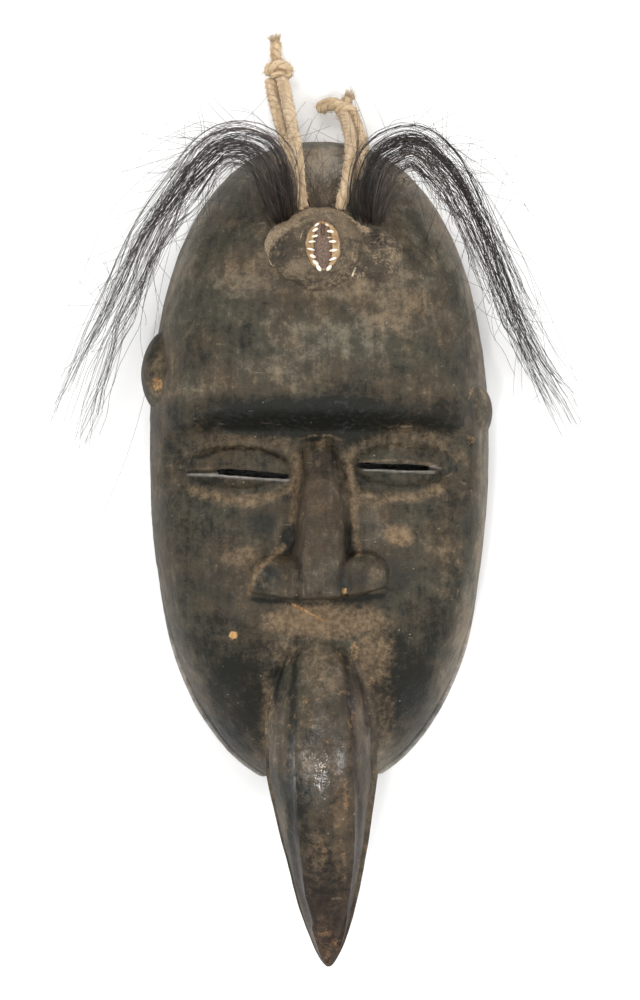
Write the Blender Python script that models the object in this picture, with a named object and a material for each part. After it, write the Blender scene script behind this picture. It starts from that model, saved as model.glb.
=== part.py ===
"""Beak mask: a hollow carved wooden face with a long bird's beak, two hair tufts and two cord loops.

The mask lies on its flat back rim. +Z is the front of the face and +Y its forehead. Every piece is
modelled about the middle of the face, and one empty carries them all to the part's own origin.
Lengths are in metres.
"""

import math

import bmesh
import bpy
import numpy as np
from mathutils import Matrix, Vector

# Clearance between pieces that touch
GAP = 0.0003

# Outline of the face, seen from the front, and the thickness of its wall
FACE_HALF_WIDTH = 0.068
FACE_UPPER_LENGTH = 0.124
FACE_LOWER_LENGTH = 0.135
OUTLINE_POWER_UP = 2.3
OUTLINE_POWER_DOWN = 2.2
WALL = 0.009

# Heights of the carved front above the rim, and how square its sections are
FOREHEAD_HEIGHT = 0.074
BROW_HEIGHT = 0.0645
EYE_HEIGHT = 0.0585
CHEEK_HEIGHT = 0.062
FOREHEAD_SQUARENESS = 3.0
FIELD_SQUARENESS = 4.0

# Brow: the edge where the forehead steps down to the eyes
BROW_Y = 0.052 * FACE_UPPER_LENGTH
BROW_EDGE = 0.0014
BROW_ROUND = 0.24 * FACE_UPPER_LENGTH
BROW_END_DROP = 0.0035

# Eyes: domed lids in a shallow socket, each with a slit cut right through
LID_HALF_LENGTH = 0.021
LID_HALF_HEIGHT = 0.0085
LID_RISE = 0.0038
SOCKET_DEPTH = 0.0016
SLIT_HALF_LENGTH = 0.0142
SLIT_HEIGHT = 0.003
SLIT_TILT = math.radians(-3.0)
LEFT_EYE_X = -0.474 * FACE_HALF_WIDTH
LEFT_EYE_Y = -0.055 * FACE_UPPER_LENGTH
LEFT_SLIT_X = -0.385 * FACE_HALF_WIDTH
LEFT_SLIT_Y = -0.078 * FACE_UPPER_LENGTH
RIGHT_EYE_X = 0.494 * FACE_HALF_WIDTH
RIGHT_EYE_Y = -0.048 * FACE_UPPER_LENGTH
RIGHT_SLIT_X = 0.430 * FACE_HALF_WIDTH
RIGHT_SLIT_Y = -0.057 * FACE_UPPER_LENGTH

# Nose: a bridge that widens and rises to a blunt tip with two wings, cut off flat underneath
NOSE_LENGTH = 0.0655
NOSE_ROOT_RISE = 0.007
NOSE_TIP_RISE = 0.025
NOSE_ROOT_HALF_WIDTH = 0.0095
NOSE_TIP_HALF_WIDTH = 0.0135
NOSE_FLAT_SHARE = 0.3
WING_RISE = 0.0125
WING_HALF_WIDTH = 0.0125
WING_HALF_HEIGHT = 0.0128
WING_SPREAD = 0.0150
WING_UP = 0.004
NOSE_BASE_TILT = 0.036
NOSE_BASE_RISE = 0.0011
NOSE_CUT = 0.0011

# Beak: the upper half with a rounded back between two arrises, and the lower half behind it
BEAK_LENGTH = 0.1364
BEAK_TIP_Y = -(FACE_LOWER_LENGTH + 0.0714)
BEAK_HALF_WIDTH = 0.0222
BEAK_TAPER_LENGTH = 0.077
BEAK_TAPER_POWER = 0.6
BEAK_ROOT_LENGTH = 0.040
BEAK_PEAK_HEIGHT = 0.084
BEAK_PEAK_FROM_TIP = 0.086
BEAK_TIP_HEIGHT = 0.046
BEAK_ROOT_HEIGHT = 0.057
BEAK_TIP_X = 0.0038
BEAK_PEAK_X = 0.0008
CULMEN_HALF_WIDTH = 0.0124
CULMEN_TIP_SHARE = 0.78
CULMEN_CROWN_SHARE = 0.30
MOUTH_HEIGHT = 0.060
MOUTH_GROOVE = 0.0009
KEEL_HEIGHT = 0.037
TIP_HALF_THICKNESS = 0.0022

# Ears: low rounded lugs on the side walls
EAR_HALF_WIDTH = 0.009
EAR_HALF_DEPTH = 0.014
EAR_HEIGHT = 0.022
LEFT_EAR_HALF_LENGTH = 0.0172
LEFT_EAR_OUT = 0.0042
LEFT_EAR_Y = 0.248 * FACE_UPPER_LENGTH
RIGHT_EAR_HALF_LENGTH = 0.0136
RIGHT_EAR_OUT = 0.0016
RIGHT_EAR_Y = 0.103 * FACE_UPPER_LENGTH

# Resin lump on the forehead, and the shell set in it
MOUND_X = 0.056 * FACE_HALF_WIDTH
MOUND_Y = 0.632 * FACE_UPPER_LENGTH
MOUND_HALF_WIDTH = 0.0258
MOUND_HALF_LENGTH = 0.0185
MOUND_RISE = 0.0105
LOBE_X = 0.35 * FACE_HALF_WIDTH
LOBE_Y = 0.60 * FACE_UPPER_LENGTH
LOBE_HALF_WIDTH = 0.0125
LOBE_HALF_LENGTH = 0.0135
LOBE_RISE = 0.006
COWRIE_X = 0.022 * FACE_HALF_WIDTH
COWRIE_Y = 0.650 * FACE_UPPER_LENGTH
COWRIE_WIDTH = 0.0148
COWRIE_LENGTH = 0.0214
COWRIE_THICKNESS = 0.009
COWRIE_PROUD = 0.0016
APERTURE_WIDTH = 0.0026
APERTURE_DEPTH = 0.0016

# Hair tufts: how high each section is against its width, and the height of their tips
TUFT_WIDTH = 0.0165
TUFT_DEPTH_SHARE = 0.62
TUFT_LIFT = 0.0035
TUFT_TIP_HEIGHT = 0.009

# Cords
CORD_DIAMETER = 0.0048
PASSAGE_CLEARANCE = 0.0005

# Each stretch of a tuft: its middle as shares of the face's half width and of its upper length, its
# height as a share of the way from the tip's height to the root's, and its share of the full width
LEFT_TUFT = (
    (-0.265, 0.715, 1.00, 0.91),
    (-0.300, 0.905, 1.10, 1.00),
    (-0.400, 1.005, 1.06, 0.91),
    (-0.553, 0.995, 0.94, 0.76),
    (-0.759, 0.870, 0.74, 0.70),
    (-0.935, 0.710, 0.54, 0.67),
    (-1.082, 0.532, 0.37, 0.64),
    (-1.247, 0.355, 0.22, 0.70),
    (-1.376, 0.177, 0.10, 0.67),
    (-1.480, 0.035, 0.00, 0.52),
)
RIGHT_TUFT = (
    (0.295, 0.745, 1.00, 0.94),
    (0.355, 0.905, 1.10, 1.00),
    (0.476, 1.000, 1.06, 0.94),
    (0.623, 1.000, 0.94, 0.91),
    (0.753, 0.919, 0.80, 1.00),
    (0.888, 0.758, 0.62, 0.94),
    (1.035, 0.597, 0.46, 0.79),
    (1.182, 0.435, 0.32, 0.55),
    (1.330, 0.290, 0.20, 0.52),
    (1.465, 0.161, 0.08, 0.58),
    (1.555, 0.085, 0.00, 0.52),
)

# Routes of the cords, from inside the wood to the knot, as shares of the face's half width, its upper
# length and the forehead's height
LEFT_FRONT_ROUTE = (
    (-0.0912, 0.7460, 0.7230),
    (-0.0985, 0.7944, 0.8176),
    (-0.1147, 0.8629, 0.8446),
    (-0.1294, 0.9548, 0.7432),
    (-0.1588, 1.0419, 0.5473),
    (-0.1912, 1.1403, 0.3041),
    (-0.2206, 1.2016, 0.1419),
)
LEFT_REAR_ROUTE = (
    (-0.1294, 0.8306, 0.5946),
    (-0.1353, 0.8839, 0.6757),
    (-0.1706, 0.9508, 0.6081),
    (-0.2250, 1.0419, 0.4392),
    (-0.2676, 1.1403, 0.2162),
    (-0.2882, 1.2016, 0.0946),
)
RIGHT_FRONT_ROUTE = (
    (0.1206, 0.7460, 0.7230),
    (0.1324, 0.7944, 0.8108),
    (0.1559, 0.8419, 0.8176),
    (0.1794, 0.9258, 0.7027),
    (0.1853, 1.0032, 0.5000),
    (0.1588, 1.0645, 0.2568),
    (0.1353, 1.0968, 0.1149),
)
RIGHT_REAR_ROUTE = (
    (0.2176, 0.8387, 0.5676),
    (0.2353, 0.8911, 0.6622),
    (0.2559, 0.9548, 0.5811),
    (0.2471, 1.0048, 0.3919),
    (0.2235, 1.0484, 0.2162),
    (0.2029, 1.0847, 0.0878),
)

# Each lump of a knot in cord diameters: its middle from the cord's end and above the rim, its radii,
# and its turn in degrees
LEFT_KNOT = (
    ((-0.31, 0.73, 1.29), (1.08, 0.88, 1.21), 0.0),
    ((0.58, 0.63, 1.04), (0.58, 0.63, 0.67), 0.0),
    ((-0.38, 2.19, 0.83), (0.50, 1.33, 0.58), 6.0),
)
RIGHT_KNOT = (
    ((0.25, 0.42, 1.25), (1.04, 0.83, 1.17), 0.0),
    ((-1.25, 0.25, 0.94), (1.17, 0.71, 0.75), -12.0),
    ((0.46, 1.08, 0.94), (0.50, 0.75, 0.58), -10.0),
)

WOOD = (0.055, 0.046, 0.037)
RESIN = (0.060, 0.040, 0.026)
SHELL = (0.72, 0.62, 0.45)
HAIR = (0.018, 0.013, 0.012)
CORD = (0.55, 0.40, 0.24)


def ease(start, end, value):
    """Runs smoothly from 0 where value is start to 1 where it is end."""
    t = np.clip((value - start) / (end - start), 0.0, 1.0)
    return t * t * (3.0 - 2.0 * t)


def outline_share(x, y, grow):
    """0 at the middle of the face and 1 on its outline, which grow moves outwards."""
    upper = y > 0.0
    reach = np.where(upper, FACE_UPPER_LENGTH, FACE_LOWER_LENGTH) + grow
    power = np.where(upper, OUTLINE_POWER_UP, OUTLINE_POWER_DOWN)
    across = (np.abs(x) / (FACE_HALF_WIDTH + grow)) ** power
    return (across + (np.abs(y) / reach) ** power) ** (1.0 / power)


def half_width(y, grow):
    """Half the width of the face at height y."""
    upper = y > 0.0
    reach = np.where(upper, FACE_UPPER_LENGTH, FACE_LOWER_LENGTH) + grow
    power = np.where(upper, OUTLINE_POWER_UP, OUTLINE_POWER_DOWN)
    left = np.clip(1.0 - (np.abs(y) / reach) ** power, 0.0, 1.0)
    return (FACE_HALF_WIDTH + grow) * left ** (1.0 / power)


def brow_line(x):
    """Where the brow's edge runs: level, and lower at both ends."""
    return BROW_Y - BROW_END_DROP * ease(0.55, 0.88, np.abs(x) / FACE_HALF_WIDTH)


def nose_line(x):
    """Where the nose is cut off underneath."""
    return BROW_Y - NOSE_LENGTH + NOSE_BASE_TILT * x + NOSE_BASE_RISE * (x / WING_SPREAD) ** 2


def plain_front(x, y, grow, brow_edge):
    """The front as roughed out: a domed forehead over a flatter, lower field for eyes and cheeks."""
    above = y - brow_line(x)
    turned_in = 1.0 - np.clip(above / BROW_ROUND, 0.0, 1.0)
    forehead = BROW_HEIGHT + (FOREHEAD_HEIGHT - BROW_HEIGHT) * np.sqrt(1.0 - turned_in**2)
    field = EYE_HEIGHT + (CHEEK_HEIGHT - EYE_HEIGHT) * ease(0.0, 0.35 * FACE_LOWER_LENGTH, -y)
    height = field + (forehead - field) * ease(0.0, brow_edge, above) + grow
    over_field = ease(0.20 * FACE_UPPER_LENGTH, 0.0, y)
    over_field = over_field * ease(-0.85 * FACE_LOWER_LENGTH, -0.5 * FACE_LOWER_LENGTH, y)
    squareness = FOREHEAD_SQUARENESS + (FIELD_SQUARENESS - FOREHEAD_SQUARENESS) * over_field
    share = np.minimum(outline_share(x, y, grow), 1.0)
    return height * (1.0 - share**squareness) ** (1.0 / squareness)


def lid(x, y, centre_x, centre_y):
    """One closed-looking lid: a dome with a shallow socket round it."""
    out = np.hypot((x - centre_x) / LID_HALF_LENGTH, (y - centre_y) / LID_HALF_HEIGHT)
    dome = LID_RISE * np.sqrt(np.clip(1.0 - out**2, 0.0, 1.0))
    socket = SOCKET_DEPTH * ease(1.5, 1.1, out) * ease(0.7, 1.1, out)
    return dome - socket


def nose(x, y):
    """The nose's rise over the field: bridge and wings, cut off along a nearly flat line underneath."""
    down = ease(BROW_Y, BROW_Y - NOSE_LENGTH, y)
    rise = NOSE_ROOT_RISE + (NOSE_TIP_RISE - NOSE_ROOT_RISE) * down**1.2
    half = NOSE_ROOT_HALF_WIDTH + (NOSE_TIP_HALF_WIDTH - NOSE_ROOT_HALF_WIDTH) * down
    bridge = rise * ease(1.0, NOSE_FLAT_SHARE, np.abs(x) / half)
    base = nose_line(x)
    wings = 0.0
    for side in (-1.0, 1.0):
        out = np.hypot(
            (x - side * WING_SPREAD) / WING_HALF_WIDTH,
            (y - base - WING_UP) / WING_HALF_HEIGHT,
        )
        wings = np.maximum(wings, WING_RISE * np.clip(1.0 - out**2, 0.0, 1.0) ** 0.45)
    body = (bridge**3 + wings**3) ** (1.0 / 3.0)
    return body * ease(base - NOSE_CUT, base + NOSE_CUT, y) * ease(BROW_Y, BROW_Y - 2.0 * BROW_EDGE, y)


def carved_front(x, y):
    """Height of the finished front above the rim, without the beak."""
    relief = lid(x, y, LEFT_EYE_X, LEFT_EYE_Y) + lid(x, y, RIGHT_EYE_X, RIGHT_EYE_Y) + nose(x, y)
    fade = ease(1.0, 0.85, outline_share(x, y, 0.0))
    return plain_front(x, y, 0.0, BROW_EDGE) + relief * fade


def forehead_height(x, y):
    """Height of the carved front at one point, as a plain number."""
    return float(carved_front(np.float64(x), np.float64(y)))


def material(name, colour, roughness):
    made = bpy.data.materials.new(name)
    made.use_nodes = True
    shader = made.node_tree.nodes["Principled BSDF"]
    shader.inputs["Base Color"].default_value = (*colour, 1.0)
    shader.inputs["Roughness"].default_value = roughness
    shader.inputs["Metallic"].default_value = 0.0
    return made


def collection(name):
    made = bpy.data.collections.new(name)
    bpy.context.scene.collection.children.link(made)
    return made


def add_object(name, data, group, frame):
    made = bpy.data.objects.new(name, data)
    group.objects.link(made)
    made.parent = frame
    return made


def mesh_object(name, bm, group, frame):
    """Closes a bmesh into an object, with its faces turned outwards."""
    bmesh.ops.recalc_face_normals(bm, faces=bm.faces)
    mesh = bpy.data.meshes.new(name)
    bm.to_mesh(mesh)
    bm.free()
    return add_object(name, mesh, group, frame)


def as_cutter(made):
    made.hide_render = True
    made.display_type = "WIRE"
    return made


def boolean(target, tool, operation):
    change = target.modifiers.new(f"{operation.lower()} {tool.name}", "BOOLEAN")
    change.operation = operation
    change.solver = "EXACT"
    change.object = tool


def evaluated_mesh(source):
    """The object's mesh with its modifiers applied, in its own axes."""
    bpy.context.view_layer.update()
    return bpy.data.meshes.new_from_object(source.evaluated_get(bpy.context.evaluated_depsgraph_get()))


def bent_rows(x, y):
    """Moves level rows so that one runs along the brow's edge and one along the nose's cut."""
    for line, level, reach in (
        (brow_line, BROW_Y, 0.14 * FACE_UPPER_LENGTH),
        (nose_line, BROW_Y - NOSE_LENGTH, 0.10 * FACE_LOWER_LENGTH),
    ):
        near = ease(reach, 0.0, np.abs(y - level)) * ease(0.95, 0.75, np.abs(x) / FACE_HALF_WIDTH)
        y = y + (line(x) - level) * near
    return y


def front_block(name, front, grow, depth, columns, rows, group, frame):
    """A closed block under a front surface, its sides running straight down past the rim plane."""
    bm = bmesh.new()
    bmesh.ops.create_grid(bm, x_segments=columns, y_segments=rows, size=1.0)
    points = np.array([v.co for v in bm.verts])
    turn = points[:, 1] * 0.98 * math.pi / 2.0
    reach = np.where(turn > 0.0, FACE_UPPER_LENGTH, FACE_LOWER_LENGTH) + grow
    across = np.sin(points[:, 0] * math.pi / 2.0)
    level = reach * np.sin(turn)
    y = bent_rows(half_width(level, grow) * across, level)
    x = half_width(y, grow) * across
    z = front(x, y)
    for v, place in zip(bm.verts, zip(x, y, z)):
        v.co = place
    rim = [e for e in bm.edges if e.is_boundary]
    walls = bmesh.ops.extrude_edge_only(bm, edges=rim)["geom"]
    for v in (item for item in walls if isinstance(item, bmesh.types.BMVert)):
        v.co.z = -depth
    bmesh.ops.holes_fill(bm, edges=[e for e in bm.edges if e.is_boundary], sides=0)
    return mesh_object(name, bm, group, frame)


def decimated(made, ratio):
    change = made.modifiers.new("fewer faces", "DECIMATE")
    change.ratio = ratio


def loft(name, rings, group, frame):
    """A closed skin over rings of as many points each, with flat ends."""
    bm = bmesh.new()
    rows = [[bm.verts.new(point) for point in ring] for ring in rings]
    count = len(rows[0])
    for one, other in zip(rows, rows[1:]):
        for i in range(count):
            j = (i + 1) % count
            bm.faces.new((one[i], one[j], other[j], other[i]))
    bm.faces.new(rows[0])
    bm.faces.new(rows[-1])
    bmesh.ops.triangulate(bm, faces=bm.faces)
    return mesh_object(name, bm, group, frame)


def beak_ring(from_tip):
    """The beak's section at a distance from its tip, as points round it."""
    taper = min(from_tip / BEAK_TAPER_LENGTH, 1.0) ** BEAK_TAPER_POWER
    from_root = min(max((BEAK_LENGTH - from_tip) / BEAK_ROOT_LENGTH, 0.02), 1.0)
    root = math.sin(from_root * math.pi / 2.0) ** 0.6
    half = BEAK_HALF_WIDTH * taper * root
    behind_tip = min(from_tip / BEAK_PEAK_FROM_TIP, 1.0)
    past_peak = max(from_tip - BEAK_PEAK_FROM_TIP, 0.0) / (BEAK_LENGTH - BEAK_PEAK_FROM_TIP)
    back = BEAK_PEAK_HEIGHT - (BEAK_PEAK_HEIGHT - BEAK_TIP_HEIGHT) * (1.0 - behind_tip) ** 2
    back -= (BEAK_PEAK_HEIGHT - BEAK_ROOT_HEIGHT) * past_peak**1.6
    middle = BEAK_TIP_X + (BEAK_PEAK_X - BEAK_TIP_X) * behind_tip**1.3
    culmen = CULMEN_HALF_WIDTH * (1.0 - 0.2 * past_peak)
    culmen = (culmen**-4 + (CULMEN_TIP_SHARE * half) ** -4) ** -0.25
    crown = CULMEN_CROWN_SHARE * culmen
    mouth = BEAK_TIP_HEIGHT + (MOUTH_HEIGHT - BEAK_TIP_HEIGHT) * behind_tip**0.8 - TIP_HALF_THICKNESS
    mouth = min(mouth, back - crown - 0.25 * half)
    keel = BEAK_TIP_HEIGHT + (KEEL_HEIGHT - BEAK_TIP_HEIGHT) * behind_tip - 2.0 * TIP_HALF_THICKNESS
    keel = min(keel, mouth - 0.3 * half)
    y = BEAK_TIP_Y + from_tip
    points = []
    for t in (1.0, 0.62, 0.22, -0.22, -0.62, -1.0):
        points.append((middle + 0.05 * half + t * culmen, back - crown * abs(t) ** 2.2))
    flank = mouth + 0.5 * (back - crown - mouth)
    depth = mouth - keel
    lip = mouth + min(0.06 * depth, 0.5 * (flank - mouth))
    points += [
        (middle - 0.80 * half, flank),
        (middle - 0.94 * half, lip),
        (middle - 0.94 * half + MOUTH_GROOVE, mouth),
        (middle - 1.00 * half, mouth - 0.10 * depth),
        (middle - 0.97 * half, mouth - 0.40 * depth),
        (middle - 0.62 * half, keel + 0.12 * depth),
        (middle, keel),
        (middle + 0.62 * half, keel + 0.12 * depth),
        (middle + 0.97 * half, mouth - 0.40 * depth),
        (middle + 1.00 * half, mouth - 0.10 * depth),
        (middle + 0.87 * half - MOUTH_GROOVE, mouth),
        (middle + 0.88 * half, lip),
        (middle + 0.80 * half, flank),
    ]
    return [(x, y, z) for x, z in points]


def beak(group, frame):
    steps = 26
    shares = [(k / steps) ** 1.5 for k in range(steps + 1)]
    stations = [max(share * BEAK_LENGTH, 0.3 * TIP_HALF_THICKNESS) for share in shares]
    return loft("beak_block", [beak_ring(station) for station in stations], group, frame)


def ball(name, centre, radii, segments, rings, group, frame, turn=0.0):
    """A ball drawn out to three radii and turned about its own upright axis."""
    bm = bmesh.new()
    bmesh.ops.create_uvsphere(bm, u_segments=segments, v_segments=rings, radius=1.0)
    bmesh.ops.scale(bm, vec=radii, verts=bm.verts)
    bmesh.ops.rotate(bm, matrix=Matrix.Rotation(turn, 3, "Z"), verts=bm.verts)
    bmesh.ops.translate(bm, vec=centre, verts=bm.verts)
    return mesh_object(name, bm, group, frame)


def ears(group, frame):
    left_x = -half_width(np.float64(LEFT_EAR_Y), 0.0) - LEFT_EAR_OUT + EAR_HALF_WIDTH
    right_x = half_width(np.float64(RIGHT_EAR_Y), 0.0) + RIGHT_EAR_OUT - EAR_HALF_WIDTH
    sides = (
        ("left", left_x, LEFT_EAR_Y, LEFT_EAR_HALF_LENGTH),
        ("right", right_x, RIGHT_EAR_Y, RIGHT_EAR_HALF_LENGTH),
    )
    return [
        ball(
            f"ear_block_{side}",
            (x, y, EAR_HEIGHT),
            (EAR_HALF_WIDTH, half_length, EAR_HALF_DEPTH),
            20,
            12,
            group,
            frame,
        )
        for side, x, y, half_length in sides
    ]


def slit(name, x, y, group, frame):
    """A flattened round bar that cuts one eye slit right through the wall."""
    bm = bmesh.new()
    bmesh.ops.create_cone(
        bm, cap_ends=True, segments=16, radius1=1.0, radius2=1.0, depth=2.0 * FOREHEAD_HEIGHT
    )
    made = mesh_object(name, bm, group, frame)
    made.location = (x, y, FOREHEAD_HEIGHT)
    made.scale = (SLIT_HALF_LENGTH, SLIT_HEIGHT / 2.0, 1.0)
    made.rotation_euler.z = SLIT_TILT
    return as_cutter(made)


def smooth_points(points, spacing):
    """Points at an even spacing on a smooth curve that passes through the given ones."""
    given = np.array(points, dtype=float)
    ends = np.vstack((2.0 * given[0] - given[1], given, 2.0 * given[-1] - given[-2]))
    fine = []
    for before, a, b, after in zip(ends, ends[1:], ends[2:], ends[3:]):
        for t in np.linspace(0.0, 1.0, 24, endpoint=False):
            fine.append(
                0.5
                * (
                    2.0 * a
                    + (b - before) * t
                    + (2.0 * before - 5.0 * a + 4.0 * b - after) * t**2
                    + (3.0 * a - before - 3.0 * b + after) * t**3
                )
            )
    fine = np.array(fine + [given[-1]])
    run = np.concatenate(([0.0], np.cumsum(np.linalg.norm(np.diff(fine[:, :3], axis=0), axis=1))))
    count = max(2, round(run[-1] / spacing) + 1)
    even = np.linspace(0.0, run[-1], count)
    return np.column_stack([np.interp(even, run, column) for column in fine.T])


def route_place(x, y, z):
    return (x * FACE_HALF_WIDTH, y * FACE_UPPER_LENGTH, z * FOREHEAD_HEIGHT)


def cord_points(route):
    return smooth_points([route_place(*point) for point in route], 2.2 * CORD_DIAMETER)


def cord_curve(name, points, radius, group, frame):
    curve = bpy.data.curves.new(name, "CURVE")
    curve.dimensions = "3D"
    curve.bevel_depth = radius
    curve.bevel_resolution = 2
    curve.use_fill_caps = True
    spline = curve.splines.new("POLY")
    spline.points.add(len(points) - 1)
    for target, place in zip(spline.points, points):
        target.co = (*place, 1.0)
    return add_object(name, curve, group, frame)


def cord_cutter(name, route, extra, group, frame):
    """The cord made wider all round, as a closed mesh, and longer at its start in the wood."""
    points = cord_points(route)
    back = Vector(points[0] - points[1]).normalized()
    longer = (Vector(points[0]) + back * 2.0 * WALL, *points)
    curve = cord_curve(name, longer, CORD_DIAMETER / 2.0 + extra, group, frame)
    bm = bmesh.new()
    bm.from_mesh(evaluated_mesh(curve))
    bmesh.ops.remove_doubles(bm, verts=bm.verts, dist=1e-6)
    bpy.data.objects.remove(curve)
    return as_cutter(mesh_object(name, bm, group, frame))


def tuft_block(name, stretches, group, frame):
    """A tapering bundle whose flat sections follow the tuft from the forehead to its drooping tip."""
    root_x, root_y = stretches[0][0] * FACE_HALF_WIDTH, stretches[0][1] * FACE_UPPER_LENGTH
    root_z = forehead_height(root_x, root_y) + TUFT_LIFT
    route = [
        (
            x * FACE_HALF_WIDTH,
            y * FACE_UPPER_LENGTH,
            TUFT_TIP_HEIGHT + (root_z - TUFT_TIP_HEIGHT) * height,
            TUFT_WIDTH * width,
        )
        for x, y, height, width in stretches
    ]
    stations = smooth_points(route, 0.64 * TUFT_WIDTH)
    rings = []
    for i, (x, y, z, width) in enumerate(stations):
        ahead = stations[min(i + 1, len(stations) - 1), :3] - stations[max(i - 1, 0), :3]
        along = Vector(ahead).normalized()
        side = along.cross(Vector((0.0, 0.0, 1.0))).normalized()
        up = side.cross(along)
        ring = []
        for k in range(12):
            angle = 2.0 * math.pi * k / 12
            out = side * math.cos(angle) + up * math.sin(angle) * TUFT_DEPTH_SHARE
            ring.append(Vector((x, y, z)) + out * width / 2.0)
        rings.append(ring)
    return loft(name, rings, group, frame)


def knot(name, end, lumps, group, guides, frame):
    """A knot at a cord's end, built from overlapping lumps."""
    end_x, end_y, _ = route_place(*end)
    first = None
    for i, ((x, y, height), radii, turn) in enumerate(lumps):
        home = group if first is None else guides
        title = name if first is None else f"{name}_lump_{i}"
        centre = (end_x + x * CORD_DIAMETER, end_y + y * CORD_DIAMETER, height * CORD_DIAMETER)
        size = [radius * CORD_DIAMETER for radius in radii]
        made = ball(title, centre, size, 10, 7, home, frame, math.radians(turn))
        if first is None:
            first = made
        else:
            boolean(first, as_cutter(made), "UNION")
    return first


def grown_copy(source, group, frame):
    """The finished piece as a cutter, larger all over by the gap that its neighbours keep to it."""
    made = add_object(f"{source.name}_grown", evaluated_mesh(source), group, frame)
    change = made.modifiers.new("gap", "DISPLACE")
    change.strength = GAP
    change.mid_level = 0.0
    return as_cutter(made)


def carved_mask(parts, cutters, frame, passages):
    mask = front_block("carved_mask", carved_front, 0.0, WALL, 120, 200, parts, frame)
    decimated(mask, 0.055)
    under = grown_copy(mask, cutters, frame)
    for block in (beak(cutters, frame), *ears(cutters, frame)):
        boolean(mask, as_cutter(block), "UNION")
    inside = front_block(
        "hollow",
        lambda x, y: plain_front(x, y, -WALL, 0.36 * FACE_UPPER_LENGTH),
        -WALL,
        3.0 * WALL,
        36,
        56,
        cutters,
        frame,
    )
    decimated(inside, 0.28)
    table = mesh_object("below_rim", cube(), cutters, frame)
    table.scale = (4.0 * FACE_HALF_WIDTH, 4.0 * FACE_LOWER_LENGTH, 2.0 * FOREHEAD_HEIGHT)
    table.location.z = -FOREHEAD_HEIGHT
    slits = (
        slit("left_slit", LEFT_SLIT_X, LEFT_SLIT_Y, cutters, frame),
        slit("right_slit", RIGHT_SLIT_X, RIGHT_SLIT_Y, cutters, frame),
    )
    for tool in (inside, *slits, *passages, table):
        boolean(mask, as_cutter(tool), "DIFFERENCE")
    return mask, under


def cube():
    bm = bmesh.new()
    bmesh.ops.create_cube(bm, size=1.0)
    return bm


def forehead_pieces(parts, cutters, frame, under, passages):
    """The resin lump, cut to lie on the forehead, and the shell in its pocket."""
    seat = forehead_height(MOUND_X, MOUND_Y)
    mound = ball(
        "forehead_mound",
        (MOUND_X, MOUND_Y, seat),
        (MOUND_HALF_WIDTH, MOUND_HALF_LENGTH, MOUND_RISE),
        26,
        14,
        parts,
        frame,
    )
    lobe = ball(
        "lobe_block",
        (LOBE_X, LOBE_Y, forehead_height(LOBE_X, LOBE_Y)),
        (LOBE_HALF_WIDTH, LOBE_HALF_LENGTH, LOBE_RISE),
        14,
        8,
        cutters,
        frame,
    )
    boolean(mound, as_cutter(lobe), "UNION")
    shell_z = seat + MOUND_RISE + COWRIE_PROUD - COWRIE_THICKNESS / 2.0
    radii = (COWRIE_WIDTH / 2.0, COWRIE_LENGTH / 2.0, COWRIE_THICKNESS / 2.0)
    shell = ball("cowrie_shell", (COWRIE_X, COWRIE_Y, shell_z), radii, 16, 10, parts, frame)
    aperture = ball(
        "aperture",
        (COWRIE_X, COWRIE_Y, shell_z + COWRIE_THICKNESS / 2.0),
        (APERTURE_WIDTH / 2.0, 0.42 * COWRIE_LENGTH, APERTURE_DEPTH),
        10,
        8,
        cutters,
        frame,
    )
    pocket_radii = [radius + GAP for radius in radii]
    pocket = ball("pocket", (COWRIE_X, COWRIE_Y, shell_z), pocket_radii, 16, 10, cutters, frame)
    above = ball(
        "pocket_mouth",
        (COWRIE_X, COWRIE_Y, shell_z + COWRIE_THICKNESS / 2.0),
        pocket_radii,
        16,
        10,
        cutters,
        frame,
    )
    boolean(shell, as_cutter(aperture), "DIFFERENCE")
    for tool in (under, pocket, above, *passages):
        boolean(mound, as_cutter(tool), "DIFFERENCE")
    return mound, shell


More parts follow.
